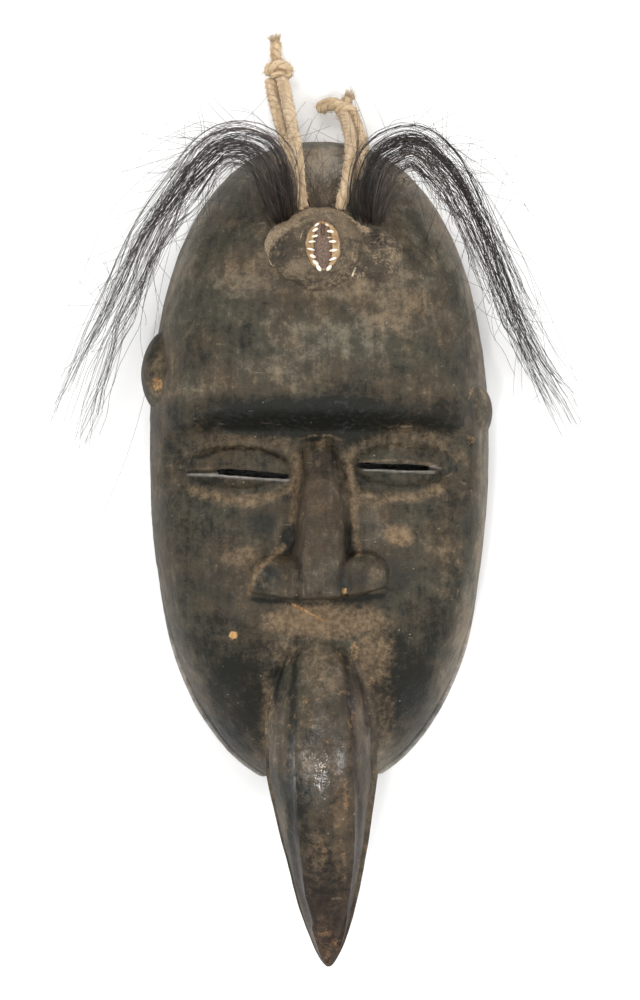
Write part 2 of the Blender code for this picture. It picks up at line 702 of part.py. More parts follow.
def main():
    for old in list(bpy.data.objects):
        bpy.data.objects.remove(old)
    parts = collection("beak_mask")
    cutters = collection("cutters")
    frame = bpy.data.objects.new("mask_frame", None)
    bpy.context.scene.collection.objects.link(frame)

    routes = {
        "cord_left_front": LEFT_FRONT_ROUTE,
        "cord_left_rear": LEFT_REAR_ROUTE,
        "cord_right_front": RIGHT_FRONT_ROUTE,
        "cord_right_rear": RIGHT_REAR_ROUTE,
    }
    passages = [
        cord_cutter(f"{name}_passage", route, PASSAGE_CLEARANCE, cutters, frame)
        for name, route in routes.items()
    ]
    cords = [
        cord_curve(name, cord_points(route), CORD_DIAMETER / 2.0, parts, frame)
        for name, route in routes.items()
    ]

    mask, under = carved_mask(parts, cutters, frame, passages)
    mound, shell = forehead_pieces(parts, cutters, frame, under, passages)

    tufts = []
    grown = (under, grown_copy(mound, cutters, frame))
    for name, stretches in (("hair_tuft_left", LEFT_TUFT), ("hair_tuft_right", RIGHT_TUFT)):
        tuft = tuft_block(name, stretches, parts, frame)
        for tool in (*grown, *passages):
            boolean(tuft, tool, "DIFFERENCE")
        tufts.append(tuft)

    knots = [
        knot("knot_left", LEFT_FRONT_ROUTE[-1], LEFT_KNOT, parts, cutters, frame),
        knot("knot_right", RIGHT_FRONT_ROUTE[-1], RIGHT_KNOT, parts, cutters, frame),
    ]
    for made in knots:
        for tool in passages:
            boolean(made, tool, "DIFFERENCE")

    looks = (
        (material("carved wood", WOOD, 0.55), [mask]),
        (material("resin", RESIN, 0.7), [mound]),
        (material("shell", SHELL, 0.35), [shell]),
        (material("hair", HAIR, 0.5), tufts),
        (material("jute cord", CORD, 0.85), cords + knots),
    )
    for look, pieces in looks:
        for piece in pieces:
            piece.data.materials.clear()
            piece.data.materials.append(look)

    corners = []
    for piece in (mask, mound, shell, *tufts):
        mesh = evaluated_mesh(piece)
        corners += [piece.matrix_world @ v.co for v in mesh.vertices]
        bpy.data.meshes.remove(mesh)
    places = np.array(corners)
    middle = (places.min(axis=0) + places.max(axis=0)) / 2.0
    frame.location = (-middle[0], -middle[1], 0.0)


main()
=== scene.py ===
"""Looks of the beak mask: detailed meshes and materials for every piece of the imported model.

Everything is made about the middle of the face, in metres, with +Y towards the forehead and +Z out
of the front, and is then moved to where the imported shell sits.
"""

import math

import bmesh
import bpy
import numpy as np
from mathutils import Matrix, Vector


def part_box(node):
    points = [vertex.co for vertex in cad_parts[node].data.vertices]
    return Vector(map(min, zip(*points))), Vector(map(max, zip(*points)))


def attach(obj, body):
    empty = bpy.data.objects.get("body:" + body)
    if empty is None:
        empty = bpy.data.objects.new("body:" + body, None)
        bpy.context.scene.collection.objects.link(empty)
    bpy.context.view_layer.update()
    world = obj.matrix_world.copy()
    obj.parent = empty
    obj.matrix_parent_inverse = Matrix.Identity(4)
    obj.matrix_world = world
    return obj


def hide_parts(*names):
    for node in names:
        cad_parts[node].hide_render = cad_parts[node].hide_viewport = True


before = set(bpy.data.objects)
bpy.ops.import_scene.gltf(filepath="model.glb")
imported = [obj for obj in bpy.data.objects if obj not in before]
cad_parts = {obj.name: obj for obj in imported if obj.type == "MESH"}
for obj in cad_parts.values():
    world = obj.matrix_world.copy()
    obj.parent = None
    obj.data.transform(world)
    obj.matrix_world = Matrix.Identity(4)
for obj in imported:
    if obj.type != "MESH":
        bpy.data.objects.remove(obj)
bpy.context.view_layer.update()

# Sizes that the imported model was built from
FACE_HALF_WIDTH = 0.068
FACE_UPPER_LENGTH = 0.124
FACE_LOWER_LENGTH = 0.135
WALL = 0.009
COWRIE_X = 0.022 * FACE_HALF_WIDTH
COWRIE_Y = 0.650 * FACE_UPPER_LENGTH
CORD_DIAMETER = 0.0048
PASSAGE_CLEARANCE = 0.0005
FOREHEAD_HEIGHT = 0.074
BROW_HEIGHT = 0.0645
EYE_HEIGHT = 0.0585
CHEEK_HEIGHT = 0.062
UP = FACE_UPPER_LENGTH
DOWN = FACE_LOWER_LENGTH

# One pixel of the photograph on the face, and the least height of a loose fibre over table or wood
PIXEL = 0.0004
LEAST_HEIGHT = 0.0004

shell_low, shell_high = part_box("cowrie_shell")
SHIFT = Vector(
    (
        (shell_low.x + shell_high.x) / 2.0 - COWRIE_X,
        (shell_low.y + shell_high.y) / 2.0 - COWRIE_Y,
        0.0,
    )
)


# Numbers and noise


def ease(start, end, value):
    """Runs smoothly from 0 where value is start to 1 where it is end."""
    t = np.clip((value - start) / (end - start), 0.0, 1.0)
    return t * t * (3.0 - 2.0 * t)


def unit(vector):
    return vector / np.linalg.norm(vector)


def full_turn(count):
    """count angles, evenly spaced round a circle."""
    return np.linspace(0.0, 2.0 * math.pi, count, endpoint=False)


def evenly(values, steps, count):
    """count of the values, spaced evenly along the run of the steps between them."""
    run = np.concatenate(([0.0], np.cumsum(steps)))
    return np.interp(np.linspace(0.0, run[-1], count), run, values)


def lattice(ix, iy, iz, seed):
    """A number from -1 to 1 for each whole-numbered place."""
    h = (ix * 374761393 + iy * 668265263 + iz * 1442695041 + seed * 1274126177) & 0xFFFFFFFF
    h = ((h ^ (h >> 13)) * 1274126177) & 0xFFFFFFFF
    h = h ^ (h >> 16)
    return (h & 0xFFFF) / 32767.5 - 1.0


def noise(points, size, seed):
    """Smooth noise from -1 to 1 at points, with lumps of about the given size."""
    p = np.asarray(points) / np.asarray(size)
    low = np.floor(p).astype(np.int64)
    f = p - low
    f = f * f * (3.0 - 2.0 * f)
    total = 0.0
    for dx in (0, 1):
        wx = f[:, 0] if dx else 1.0 - f[:, 0]
        for dy in (0, 1):
            wy = f[:, 1] if dy else 1.0 - f[:, 1]
            for dz in (0, 1):
                wz = f[:, 2] if dz else 1.0 - f[:, 2]
                corner = lattice(low[:, 0] + dx, low[:, 1] + dy, low[:, 2] + dz, seed)
                total = total + wx * wy * wz * corner
    return total


def fractal(points, size, seed, octaves=3):
    """Noise in several sizes, each about half as large and half as strong as the one before."""
    total, weight, reach = 0.0, 1.0, 0.0
    for k in range(octaves):
        total = total + weight * noise(points, np.asarray(size) / 2.03**k, seed + 17 * k)
        reach += weight
        weight *= 0.5
    return total / reach


def oval_share(dx, dy, rx, ry, turn):
    """0 at the middle of an oval turned by some degrees, and 1 on its edge."""
    c, s = math.cos(math.radians(turn)), math.sin(math.radians(turn))
    return np.hypot((dx * c + dy * s) / rx, (-dx * s + dy * c) / ry)


def pixel(px, py):
    """A place on the face, in metres, from a pixel of the photograph's frame."""
    return (px - 319.0) * PIXEL, (450.0 - py) * PIXEL


def near_line(p, points, reach):
    """1 on a line seen from the front, falling to 0 at reach from it."""
    line = np.array(points)
    best = np.full(len(p), 1e9)
    for a, b in zip(line, line[1:]):
        ab = b - a
        t = np.clip(((p[:, :2] - a) @ ab) / (ab @ ab), 0.0, 1.0)
        best = np.minimum(best, np.linalg.norm(p[:, :2] - a - t[:, None] * ab, axis=1))
    return 1.0 - ease(0.0, reach, best)


# The carved front


def outline_power(y):
    return np.where(y > 0.0, 2.3, 2.2)


def reach_of(y, grow):
    return np.where(y > 0.0, UP, DOWN) + grow


def outline_share(x, y, grow):
    """0 at the middle of the face and 1 on its outline, which grow moves outwards."""
    power = outline_power(y)
    across = (np.abs(x) / (FACE_HALF_WIDTH + grow)) ** power
    return (across + (np.abs(y) / reach_of(y, grow)) ** power) ** (1.0 / power)


def half_width(y, grow):
    """Half the width of the face at height y."""
    power = outline_power(y)
    left = np.clip(1.0 - (np.abs(y) / reach_of(y, grow)) ** power, 0.0, 1.0)
    return (FACE_HALF_WIDTH + grow) * left ** (1.0 / power)


# How far the brow's step is spread: as carved, as taken for the spacing of points, and in the hollow
CARVED_EDGE = 0.0095
PLAIN_EDGE = 0.0012
HOLLOW_EDGE = 0.36 * UP
BROW_Y = 0.052 * UP
BROW_ROUND = 0.24 * UP
NOSE_LENGTH = 0.0655
WING_SPREAD = 0.0150


def brow_line(x):
    """Where the brow's edge runs: level, and lower at both ends."""
    return BROW_Y - 0.0035 * ease(0.55, 0.88, np.abs(x) / FACE_HALF_WIDTH)


def nose_line(x):
    """Where the nose is cut off underneath."""
    return BROW_Y - NOSE_LENGTH + 0.036 * x + 0.0011 * (x / WING_SPREAD) ** 2


def squareness(y):
    """How square the section is: rounder over the forehead than over the eyes and cheeks."""
    over_field = ease(0.20 * UP, 0.0, y) * ease(-0.85 * DOWN, -0.5 * DOWN, y)
    return 3.0 + over_field


def plain_front(x, y, grow, brow_edge):
    """The front as roughed out: a domed forehead over a flatter, lower field."""
    above = y - brow_line(x)
    turned_in = 1.0 - np.clip(above / BROW_ROUND, 0.0, 1.0)
    forehead = BROW_HEIGHT + (FOREHEAD_HEIGHT - BROW_HEIGHT) * np.sqrt(1.0 - turned_in**2)
    field = EYE_HEIGHT + (CHEEK_HEIGHT - EYE_HEIGHT) * ease(0.0, 0.35 * DOWN, -y)
    middle = ease(0.93, 0.82, np.abs(x) / (FACE_HALF_WIDTH + grow))
    step = middle * ease(0.0, brow_edge, above) + (1.0 - middle) * ease(-0.020, 0.024, above)
    height = field + (forehead - field) * step + grow
    power = squareness(y)
    share = np.minimum(outline_share(x, y, grow), 1.0)
    return height * (1.0 - share**power) ** (1.0 / power)


LEFT_EYE = (-0.474 * FACE_HALF_WIDTH, -0.055 * UP)
RIGHT_EYE = (0.494 * FACE_HALF_WIDTH, -0.048 * UP)


def lid(x, y, centre):
    """A broad, nearly flat lid with a lower part set back under the slit, in a shallow socket."""
    u, v = (x - centre[0]) / 0.0212, (y - centre[1]) / 0.0086
    out = np.hypot(u, v)
    dome = 0.0031 * np.clip(1.0 - out**2.8, 0.0, 1.0) ** 0.85
    slit_line = -0.27 - 0.17 * u
    set_back = 0.0008 * ease(slit_line + 0.05, slit_line - 0.12, v) * ease(1.0, 0.75, out)
    socket = 0.0013 * ease(1.6, 1.15, out) * ease(0.75, 1.1, out)
    return dome - set_back - socket


def nose(x, y):
    """A long flat-topped nose, wider on its right flank, with notched sides and broad low wings."""
    down = ease(BROW_Y, BROW_Y - NOSE_LENGTH, y)
    rise = 0.0048 + 0.0202 * down**1.1
    wider = ease(0.0016, -0.0200, y)
    merged = ease(-0.0330, -0.0500, y)
    left, right = 0.0088 + 0.0026 * wider + 0.0070 * merged, 0.0096 + 0.0050 * wider + 0.0035 * merged
    across = np.where(x < 0.0, -x / left, x / right)
    bridge = rise * ease(1.0, 0.42 - 0.20 * merged, across)
    base = nose_line(x)
    wings = 0.0
    for side in (-1.0, 1.0):
        out = np.hypot((x - side * WING_SPREAD) / 0.0125, (y - base - 0.004) / 0.0128)
        wings = np.maximum(wings, 0.0118 * np.clip(1.0 - out**2.6, 0.0, 1.0) ** 0.40)
    body = (bridge**3 + wings**3) ** (1.0 / 3.0)
    notches = 0.0
    for side, across_mm, top, bottom in ((-1.0, 0.0110, 526.0, 552.0), (1.0, 0.0125, 530.0, 554.0)):
        middle_y = pixel(0.0, (top + bottom) / 2.0)[1]
        out = np.hypot((x - side * across_mm) / 0.0032, (y - middle_y) / 0.0060)
        notches = notches + 0.0040 * np.clip(1.0 - out**2, 0.0, 1.0)
    body = np.maximum(body - notches, 0.0)
    top_edge = BROW_Y - 0.0034 * (x / 0.0090) ** 2
    return body * ease(base - 0.0006, base + 0.0008, y) * ease(top_edge + 0.0010, top_edge - 0.0085, y)


def carved_front(x, y):
    """Height of the finished front above the rim, without the beak."""
    relief = lid(x, y, LEFT_EYE) + lid(x, y, RIGHT_EYE) + nose(x, y)
    fade = ease(1.0, 0.85, outline_share(x, y, 0.0))
    return plain_front(x, y, 0.0, CARVED_EDGE) + relief * fade


def hollow_front(x, y):
    """Height of the hollow's roof behind the front."""
    return plain_front(x, y, -WALL, HOLLOW_EDGE)


# Meshes


def new_object(name, mesh):
    made = bpy.data.objects.new(name, mesh)
    bpy.context.scene.collection.objects.link(made)
    return made


def mesh_from(name, points, faces):
    mesh = bpy.data.meshes.new(name)
    mesh.from_pydata([tuple(p) for p in points], [], [tuple(int(i) for i in f) for f in faces])
    mesh.update()
    return mesh


def mesh_of(name, bm):
    mesh = bpy.data.meshes.new(name)
    bm.to_mesh(mesh)
    bm.free()
    return mesh


def outward(mesh):
    """The mesh with its faces turned outwards."""
    bm = bmesh.new()
    bm.from_mesh(mesh)
    bmesh.ops.recalc_face_normals(bm, faces=bm.faces)
    bm.to_mesh(mesh)
    bm.free()
    return mesh


def positions(mesh):
    co = np.empty(len(mesh.vertices) * 3)
    mesh.vertices.foreach_get("co", co)
    return co.reshape(-1, 3)


def normals(mesh):
    out = np.empty(len(mesh.vertices) * 3)
    mesh.vertex_normals.foreach_get("vector", out)
    return out.reshape(-1, 3)


def place(mesh, co):
    mesh.vertices.foreach_set("co", co.ravel())
    mesh.update()


def paint(mesh, name, values):
    """Stores a value from 0 to 1 for each point, which the materials read."""
    layer = mesh.attributes.new(name, "FLOAT", "POINT")
    layer.data.foreach_set("value", np.clip(values, 0.0, 1.0).astype(np.float32))


def combine(target, mesh, operation):
    """Joins the mesh to the target, or cuts it out."""
    tool = new_object(mesh.name, mesh)
    change = target.modifiers.new(tool.name, "BOOLEAN")
    change.operation = operation
    change.solver = "MANIFOLD"
    change.object = tool
    bpy.context.view_layer.update()
    graph = bpy.context.evaluated_depsgraph_get()
    made = bpy.data.meshes.new_from_object(target.evaluated_get(graph))
    target.modifiers.clear()
    target.data = made
    bpy.data.objects.remove(tool)


def tube_faces(rings, round_count):
    """Quads of a skin over rings, plus a fan cap at each end from one extra point."""
    faces = []
    for r in range(rings - 1):
        for i in range(round_count):
            j = (i + 1) % round_count
            a, b = r * round_count, (r + 1) * round_count
            faces.append((a + i, a + j, b + j, b + i))
    first, last = rings * round_count, rings * round_count + 1
    for i in range(round_count):
        j = (i + 1) % round_count
        faces.append((first, j, i))
        faces.append((last, (rings - 1) * round_count + i, (rings - 1) * round_count + j))
    return faces


def capped_tube(name, rings, first, last):
    """A closed skin over rings of points, with a fan to one point at each end."""
    co = np.vstack((rings.reshape(-1, 3), first, last))
    return mesh_from(name, co, tube_faces(*rings.shape[:2]))


def rings_round(centre, radius, angle):
    """Points round each point of a route, at the given angles."""
    u, v, _ = across_frames(centre)
    out = u[:, None, :] * np.cos(angle)[None, :, None] + v[:, None, :] * np.sin(angle)[None, :, None]
    return centre[:, None, :] + radius * out


def smooth_route(points, count):
    """A smooth curve through the given points, with count points at an even spacing."""
    given = np.array(points, dtype=float)
    ends = np.vstack((2.0 * given[0] - given[1], given, 2.0 * given[-1] - given[-2]))
    fine = []
    for before, a, b, after in zip(ends, ends[1:], ends[2:], ends[3:]):
        for t in np.linspace(0.0, 1.0, 24, endpoint=False):
            bent = (2.0 * before - 5.0 * a + 4.0 * b - after) * t**2
            turned = (3.0 * a - before - 3.0 * b + after) * t**3
            fine.append(0.5 * (2.0 * a + (b - before) * t + bent + turned))
    fine = np.array(fine + [given[-1]])
    steps = np.linalg.norm(np.diff(fine[:, :3], axis=0), axis=1)
    return np.column_stack([evenly(column, steps, count) for column in fine.T])


def run_length(points):
    return float(np.linalg.norm(np.diff(points[:, :3], axis=0), axis=1).sum())


# Camera, floor and light

# How far the camera stands from the level at which the photograph's pixels are measured
VIEW_DISTANCE = 4.0
REFERENCE_HEIGHT = 0.030
SENSOR = 36.0
IMAGE_HEIGHT = 1000.0
FLOOR_REACH = 6.0
FLOOR_DROP = 0.0004


def make_camera():
    data = bpy.data.cameras.new("camera")
    data.sensor_width = SENSOR
    data.lens = SENSOR * VIEW_DISTANCE / (IMAGE_HEIGHT * PIXEL)
    data.clip_end = 50.0
    camera = new_object("camera", data)
    x, y = pixel(320.0, 500.0)
    camera.location = (x + SHIFT.x, y + SHIFT.y, REFERENCE_HEIGHT + VIEW_DISTANCE)
    bpy.context.scene.camera = camera


def make_light():
    bpy.context.scene.view_settings.view_transform = "Standard"
    world = bpy.data.worlds.new("studio")
    bpy.context.scene.world = world
    world.use_nodes = True
    back = world.node_tree.nodes["Background"]
    back.inputs["Color"].default_value = (1.0, 1.0, 1.0, 1.0)
    back.inputs["Strength"].default_value = 0.92
    for name, place_at, size, power, colour in (
        ("top_box", (-0.25, 0.95, 1.25), 0.7, 7.0, (1.0, 0.985, 0.96)),
        ("right_box", (0.95, -0.05, 1.10), 0.7, 7.5, (0.98, 0.99, 1.0)),
        ("left_box", (-0.95, -0.10, 1.20), 0.6, 4.5, (1.0, 1.0, 1.0)),
        ("front_box", (-0.16, -0.40, 1.60), 0.13, 5.0, (1.0, 1.0, 1.0)),
    ):
        lamp = bpy.data.lights.new(name, "AREA")
        lamp.shape = "DISK"
        lamp.size = size
        lamp.energy = power
        lamp.color = colour
        made = new_object(name, lamp)
        made.location = place_at
        aim = Vector((0.0, 0.0, REFERENCE_HEIGHT)) - Vector(place_at)
        made.rotation_euler = aim.to_track_quat("-Z", "Y").to_euler()


def make_floor():
    corners = ((-1, -1), (1, -1), (1, 1), (-1, 1))
    points = [(x * FLOOR_REACH, y * FLOOR_REACH, -FLOOR_DROP) for x, y in corners]
    mesh = mesh_from("floor", points, [(0, 1, 2, 3)])
    floor = new_object("floor", mesh)
    look = bpy.data.materials.new("pale_floor")
    look.use_nodes = True
    shader = look.node_tree.nodes["Principled BSDF"]
    shader.inputs["Base Color"].default_value = (0.96, 0.96, 0.96, 1.0)
    shader.inputs["Roughness"].default_value = 0.9
    shader.inputs["Specular IOR Level"].default_value = 0.0
    mesh.materials.append(look)


# Material nodes


class Tree:
    """Short names for building a material's nodes."""

    def __init__(self, name):
        self.look = bpy.data.materials.new(name)
        self.look.use_nodes = True
        self.tree = self.look.node_tree
        self.shader = self.tree.nodes["Principled BSDF"]
        self.coords = self.tree.nodes.new("ShaderNodeTexCoord").outputs["Object"]

    def set(self, socket, value):
        if isinstance(value, bpy.types.NodeSocket):
            self.tree.links.new(value, socket)
        elif isinstance(value, tuple) and len(value) == 3 and socket.type == "RGBA":
            socket.default_value = (*value, 1.0)
        else:
            socket.default_value = value

    def shade(self, **inputs):
        """Fills in inputs of the shader, with spaces for the underscores in their names."""
        for name, value in inputs.items():
            self.set(self.shader.inputs[name.replace("_", " ")], value)

    def node(self, kind, output, inputs, **settings):
        """One output of a new node, with its settings and its inputs filled in."""
        made = self.tree.nodes.new(f"ShaderNode{kind}")
        for name, value in settings.items():
            setattr(made, name, value)
        for key, value in inputs.items():
            self.set(made.inputs[key], value)
        return made.outputs[output]

    def mapped(self, scale, degrees):
        """Object coordinates, stretched and turned about the upright axis."""
        turn = (0.0, 0.0, math.radians(degrees))
        return self.node("Mapping", "Vector", {"Vector": self.coords, "Scale": scale, "Rotation": turn})

    def noise(self, scale, detail, rough, vector=None, distort=0.0):
        inputs = {"Vector": vector or self.coords, "Scale": scale, "Detail": detail}
        return self.node("TexNoise", "Fac", {**inputs, "Roughness": rough, "Distortion": distort})

    def cells(self, scale):
        return self.node("TexVoronoi", "Distance", {"Vector": self.coords, "Scale": scale})

    def range(self, value, low, high, to_low=0.0, to_high=1.0):
        """Runs smoothly from to_low where value is low to to_high where it is high."""
        inputs = {"Value": value, "From Min": low, "From Max": high, "To Min": to_low, "To Max": to_high}
        return self.node("MapRange", "Result", inputs, interpolation_type="SMOOTHSTEP")

    def math(self, kind, a, b):
        return self.node("Math", "Value", {0: a, 1: b}, operation=kind)

    def times(self, a, b):
        return self.math("MULTIPLY", a, b)

    def swing(self, value, amount):
        """A value from 0 to 1, made to swing about 0 by the given amount."""
        return self.times(self.math("SUBTRACT", value, 0.5), amount)

    def total(self, first, *others):
        for other in others:
            first = self.math("ADD", first, other)
        return first

    def mix(self, factor, a, b, kind="MIX"):
        return self.node("Mix", 2, {0: factor, 6: a, 7: b}, data_type="RGBA", blend_type=kind)

    def attribute(self, name):
        return self.node("Attribute", "Fac", {}, attribute_name=name)

    def bump(self, height, distance, strength, after=None):
        inputs = {"Height": height, "Distance": distance, "Strength": strength}
        return self.node("Bump", "Normal", inputs if after is None else {**inputs, "Normal": after})


def wood_material():
    """Dark carved wood under old dust, with blackened, worn and chipped places and some painted light and
    shade, painted per point.
    """
    t = Tree("aged_carved_wood")
    broad = t.noise(24.0, 4.0, 0.6)
    middle = t.noise(140.0, 5.0, 0.70)
    mottle = t.noise(430.0, 4.0, 0.68)
    grit = t.noise(1250.0, 2.0, 0.6)
    streak = t.noise(420.0, 3.0, 0.6, t.mapped((1.0, 0.11, 0.5), 2.0), 0.4)
    scratch = t.noise(520.0, 2.0, 0.5, t.mapped((0.10, 1.0, 0.6), 34.0), 0.6)
    fine_parts = t.total(t.swing(mottle, 0.72), t.swing(grit, 0.42))
    # The attribute read here brings dust and dark patina into the tone, together with painted light, painted
    # highlights and painted shadow
    broad_parts = t.total(t.swing(t.attribute("dust_light_and_shade"), 1.7), 0.46, t.swing(broad, 0.9), t.swing(middle, 1.25))

    tone = t.total(broad_parts, t.swing(streak, 0.55), fine_parts)
    body = t.mix(t.range(tone, -0.05, 0.48), (0.0085, 0.0080, 0.0050), (0.046, 0.0370, 0.0245))
    body = t.mix(t.range(tone, 0.42, 1.02), body, (0.145, 0.1160, 0.0800))
    body = t.mix(t.range(tone, 0.92, 1.45), body, (0.285, 0.2520, 0.2000))

    # A slow change of hue, warmer in some places and colder in others
    drift = t.noise(48.0, 3.0, 0.55)
    body = t.mix(t.range(drift, 0.48, 0.66), body, (1.08, 0.99, 0.90), "MULTIPLY")
    body = t.mix(t.range(drift, 0.52, 0.36), body, (0.90, 1.00, 1.03), "MULTIPLY")

    # Blackened places
    black = t.range(t.total(t.attribute("pitch"), t.swing(middle, 0.6), t.swing(mottle, 0.5)), 0.14, 0.70)
    blue = t.mix(t.range(mottle, 0.44, 0.68), (0.0062, 0.0068, 0.0052), (0.0225, 0.0262, 0.0240))
    body = t.mix(t.times(black, 0.90), body, blue)

    # Tan crust
    tan = t.attribute("tan")
    crust = t.total(tan, t.swing(middle, 0.6), t.swing(mottle, 0.6), t.swing(grit, 0.08))
    crust = t.range(crust, 0.12, 0.94)
    ochre = t.mix(t.range(mottle, 0.34, 0.66), (0.112, 0.0720, 0.0400), (0.205, 0.1450, 0.0860))
    body = t.mix(t.times(crust, t.range(tan, 0.02, 0.30)), body, ochre)

    # Bare wood
    raw = t.attribute("raw")
    bare = t.times(t.range(t.total(raw, fine_parts), 0.42, 0.80), t.range(raw, 0.05, 0.3))
    grain = t.mix(t.range(streak, 0.4, 0.6), (0.22, 0.1100, 0.0350), (0.42, 0.2500, 0.1050))
    body = t.mix(bare, body, grain)

    # Reddish places, pale wood at the chin's rim, painted highlights along the eye slits' lower lips,
    # scratches and light specks
    red = t.times(t.attribute("red"), t.range(mottle, 0.35, 0.65, 0.25, 0.85))
    body = t.mix(red, body, (0.040, 0.0170, 0.0100))
    pale = t.mix(t.range(mottle, 0.3, 0.7), (0.28, 0.262, 0.235), (0.52, 0.500, 0.465))
    body = t.mix(t.attribute("pale"), body, pale)
    marks = t.times(t.range(scratch, 0.69, 0.745), t.range(middle, 0.45, 0.62, 0.0, 0.4))
    body = t.mix(marks, body, (0.260, 0.2100, 0.1450))
    specks = t.times(t.range(t.cells(210.0), 0.085, 0.045), t.range(middle, 0.46, 0.56))
    body = t.mix(t.times(specks, 0.55), body, (0.300, 0.2600, 0.2000))

    polish = t.attribute("polish")
    rough = t.total(t.range(mottle, 0.3, 0.7, 0.50, 0.68), t.times(crust, 0.10))
    relief = t.bump(middle, 0.00090, 0.5, t.bump(streak, 0.00022, 0.5))
    relief = t.bump(grit, 0.00014, 0.7, t.bump(mottle, 0.00040, 0.65, relief))
    t.shade(
        Base_Color=body,
        Roughness=t.math("SUBTRACT", rough, t.times(polish, 0.22)),
        Specular_IOR_Level=0.17,
        Coat_Weight=t.times(polish, t.range(mottle, 0.38, 0.56, 0.20, 1.0)),
        Coat_Roughness=0.10,
        Normal=relief,
        Coat_Normal=t.bump(t.noise(900.0, 2.0, 0.6), 0.00024, 0.8),
    )
    return t.look


def resin_material():
    """A dull, earthy lump with a dusty crust on its upper edge."""
    t = Tree("dark_resin")
    broad = t.noise(75.0, 4.0, 0.6)
    lumps = t.noise(330.0, 5.0, 0.68)
    fine = t.noise(1150.0, 3.0, 0.6)
    thread = t.noise(520.0, 3.0, 0.6, t.mapped((0.30, 1.0, 0.7), -28.0), 0.8)
    grain = t.total(t.swing(lumps, 1.0), t.swing(fine, 0.6), t.swing(thread, 0.6))
    # The tone attribute holds painted light and painted shade on the dome as well as its own mottling
    tone = t.total(t.attribute("tone"), t.swing(broad, 1.0), grain)
    body = t.mix(t.range(tone, 0.0, 0.5), (0.0110, 0.0092, 0.0062), (0.046, 0.0340, 0.0215))
    body = t.mix(t.range(tone, 0.45, 1.05), body, (0.150, 0.1120, 0.0700))
    tan = t.attribute("tan")
    worn = t.times(t.range(t.total(tan, grain), 0.25, 0.95), t.range(tan, 0.02, 0.3))
    dusty = t.mix(t.range(fine, 0.35, 0.65), (0.170, 0.1230, 0.0740), (0.330, 0.2500, 0.1650))
    body = t.mix(worn, body, dusty)
    chip = t.range(t.total(t.attribute("chip"), t.swing(lumps, 0.8)), 0.40, 0.62)
    relief = t.bump(thread, 0.00030, 0.5, t.bump(lumps, 0.00075, 0.75))
    t.shade(
        Base_Color=t.mix(chip, body, (0.52, 0.43, 0.30)),
        Roughness=t.range(lumps, 0.3, 0.7, 0.60, 0.86),
        Specular_IOR_Level=0.32,
        Normal=t.bump(fine, 0.00014, 0.6, relief),
    )
    return t.look


def shell_material():
    """A worn, yellowed shell with paler teeth and brown grime in its mouth."""
    t = Tree("worn_cowrie")
    broad = t.noise(240.0, 4.0, 0.6)
    fine = t.noise(1700.0, 2.0, 0.5)
    teeth = t.attribute("teeth")
    body = t.mix(t.range(broad, 0.35, 0.7), (0.230, 0.130, 0.050), (0.430, 0.300, 0.150))
    body = t.mix(t.range(teeth, 0.25, 0.75), body, (0.86, 0.80, 0.68))
    grime = t.range(t.total(t.attribute("grime"), t.swing(broad, 0.5)), 0.35, 0.75)
    dirt = t.mix(t.range(fine, 0.35, 0.65), (0.050, 0.0270, 0.0170), (0.150, 0.0900, 0.0560))
    t.shade(
        Base_Color=t.mix(grime, body, dirt),
        Roughness=t.range(teeth, 0.0, 1.0, 0.5, 0.30),
        Normal=t.bump(fine, 0.00006, 0.6),
        Subsurface_Weight=0.05,
        Subsurface_Scale=0.0008,
    )
    return t.look


def hair_material():
    t = Tree("coarse_dark_hair")
    t.shade(
        Base_Color=t.mix(t.attribute("shade"), (0.0180, 0.0145, 0.0125), (0.110, 0.0740, 0.0580)),
        Roughness=t.range(t.noise(700.0, 2.0, 0.55), 0.3, 0.7, 0.34, 0.5),
        Specular_IOR_Level=0.5,
    )
    return t.look


def jute_material():
    """Soft twisted jute: pale fibres, painted shade in the furrows and a few dark flecks of bark."""
    t = Tree("jute_fibre")
    blotch = t.noise(170.0, 4.0, 0.6)
    flecks = t.noise(900.0, 2.0, 0.6, t.mapped((1.0, 0.35, 1.0), 25.0))
    body = t.mix(t.range(t.attribute("fibre"), 0.0, 1.0), (0.430, 0.298, 0.170), (0.640, 0.488, 0.312))
    body = t.mix(t.range(blotch, 0.45, 0.75, 0.0, 0.5), body, (0.420, 0.288, 0.168))
    # Painted shade in the furrows between the strands
    body = t.mix(t.range(t.attribute("depth"), 0.15, 1.0, 0.0, 0.55), body, (0.250, 0.155, 0.082))
    felt = t.bump(t.noise(1000.0, 3.0, 0.65), 0.00080, 0.8)
    t.shade(
        Base_Color=t.mix(t.range(flecks, 0.64, 0.72, 0.0, 0.70), body, (0.085, 0.050, 0.026)),
        Roughness=t.range(blotch, 0.3, 0.7, 0.80, 0.94),
        Specular_IOR_Level=0.25,
        Sheen_Weight=0.20,
        Sheen_Roughness=0.5,
        Normal=t.bump(t.noise(2600.0, 2.0, 0.6), 0.00016, 0.8, felt),
    )
    return t.look


# Cords

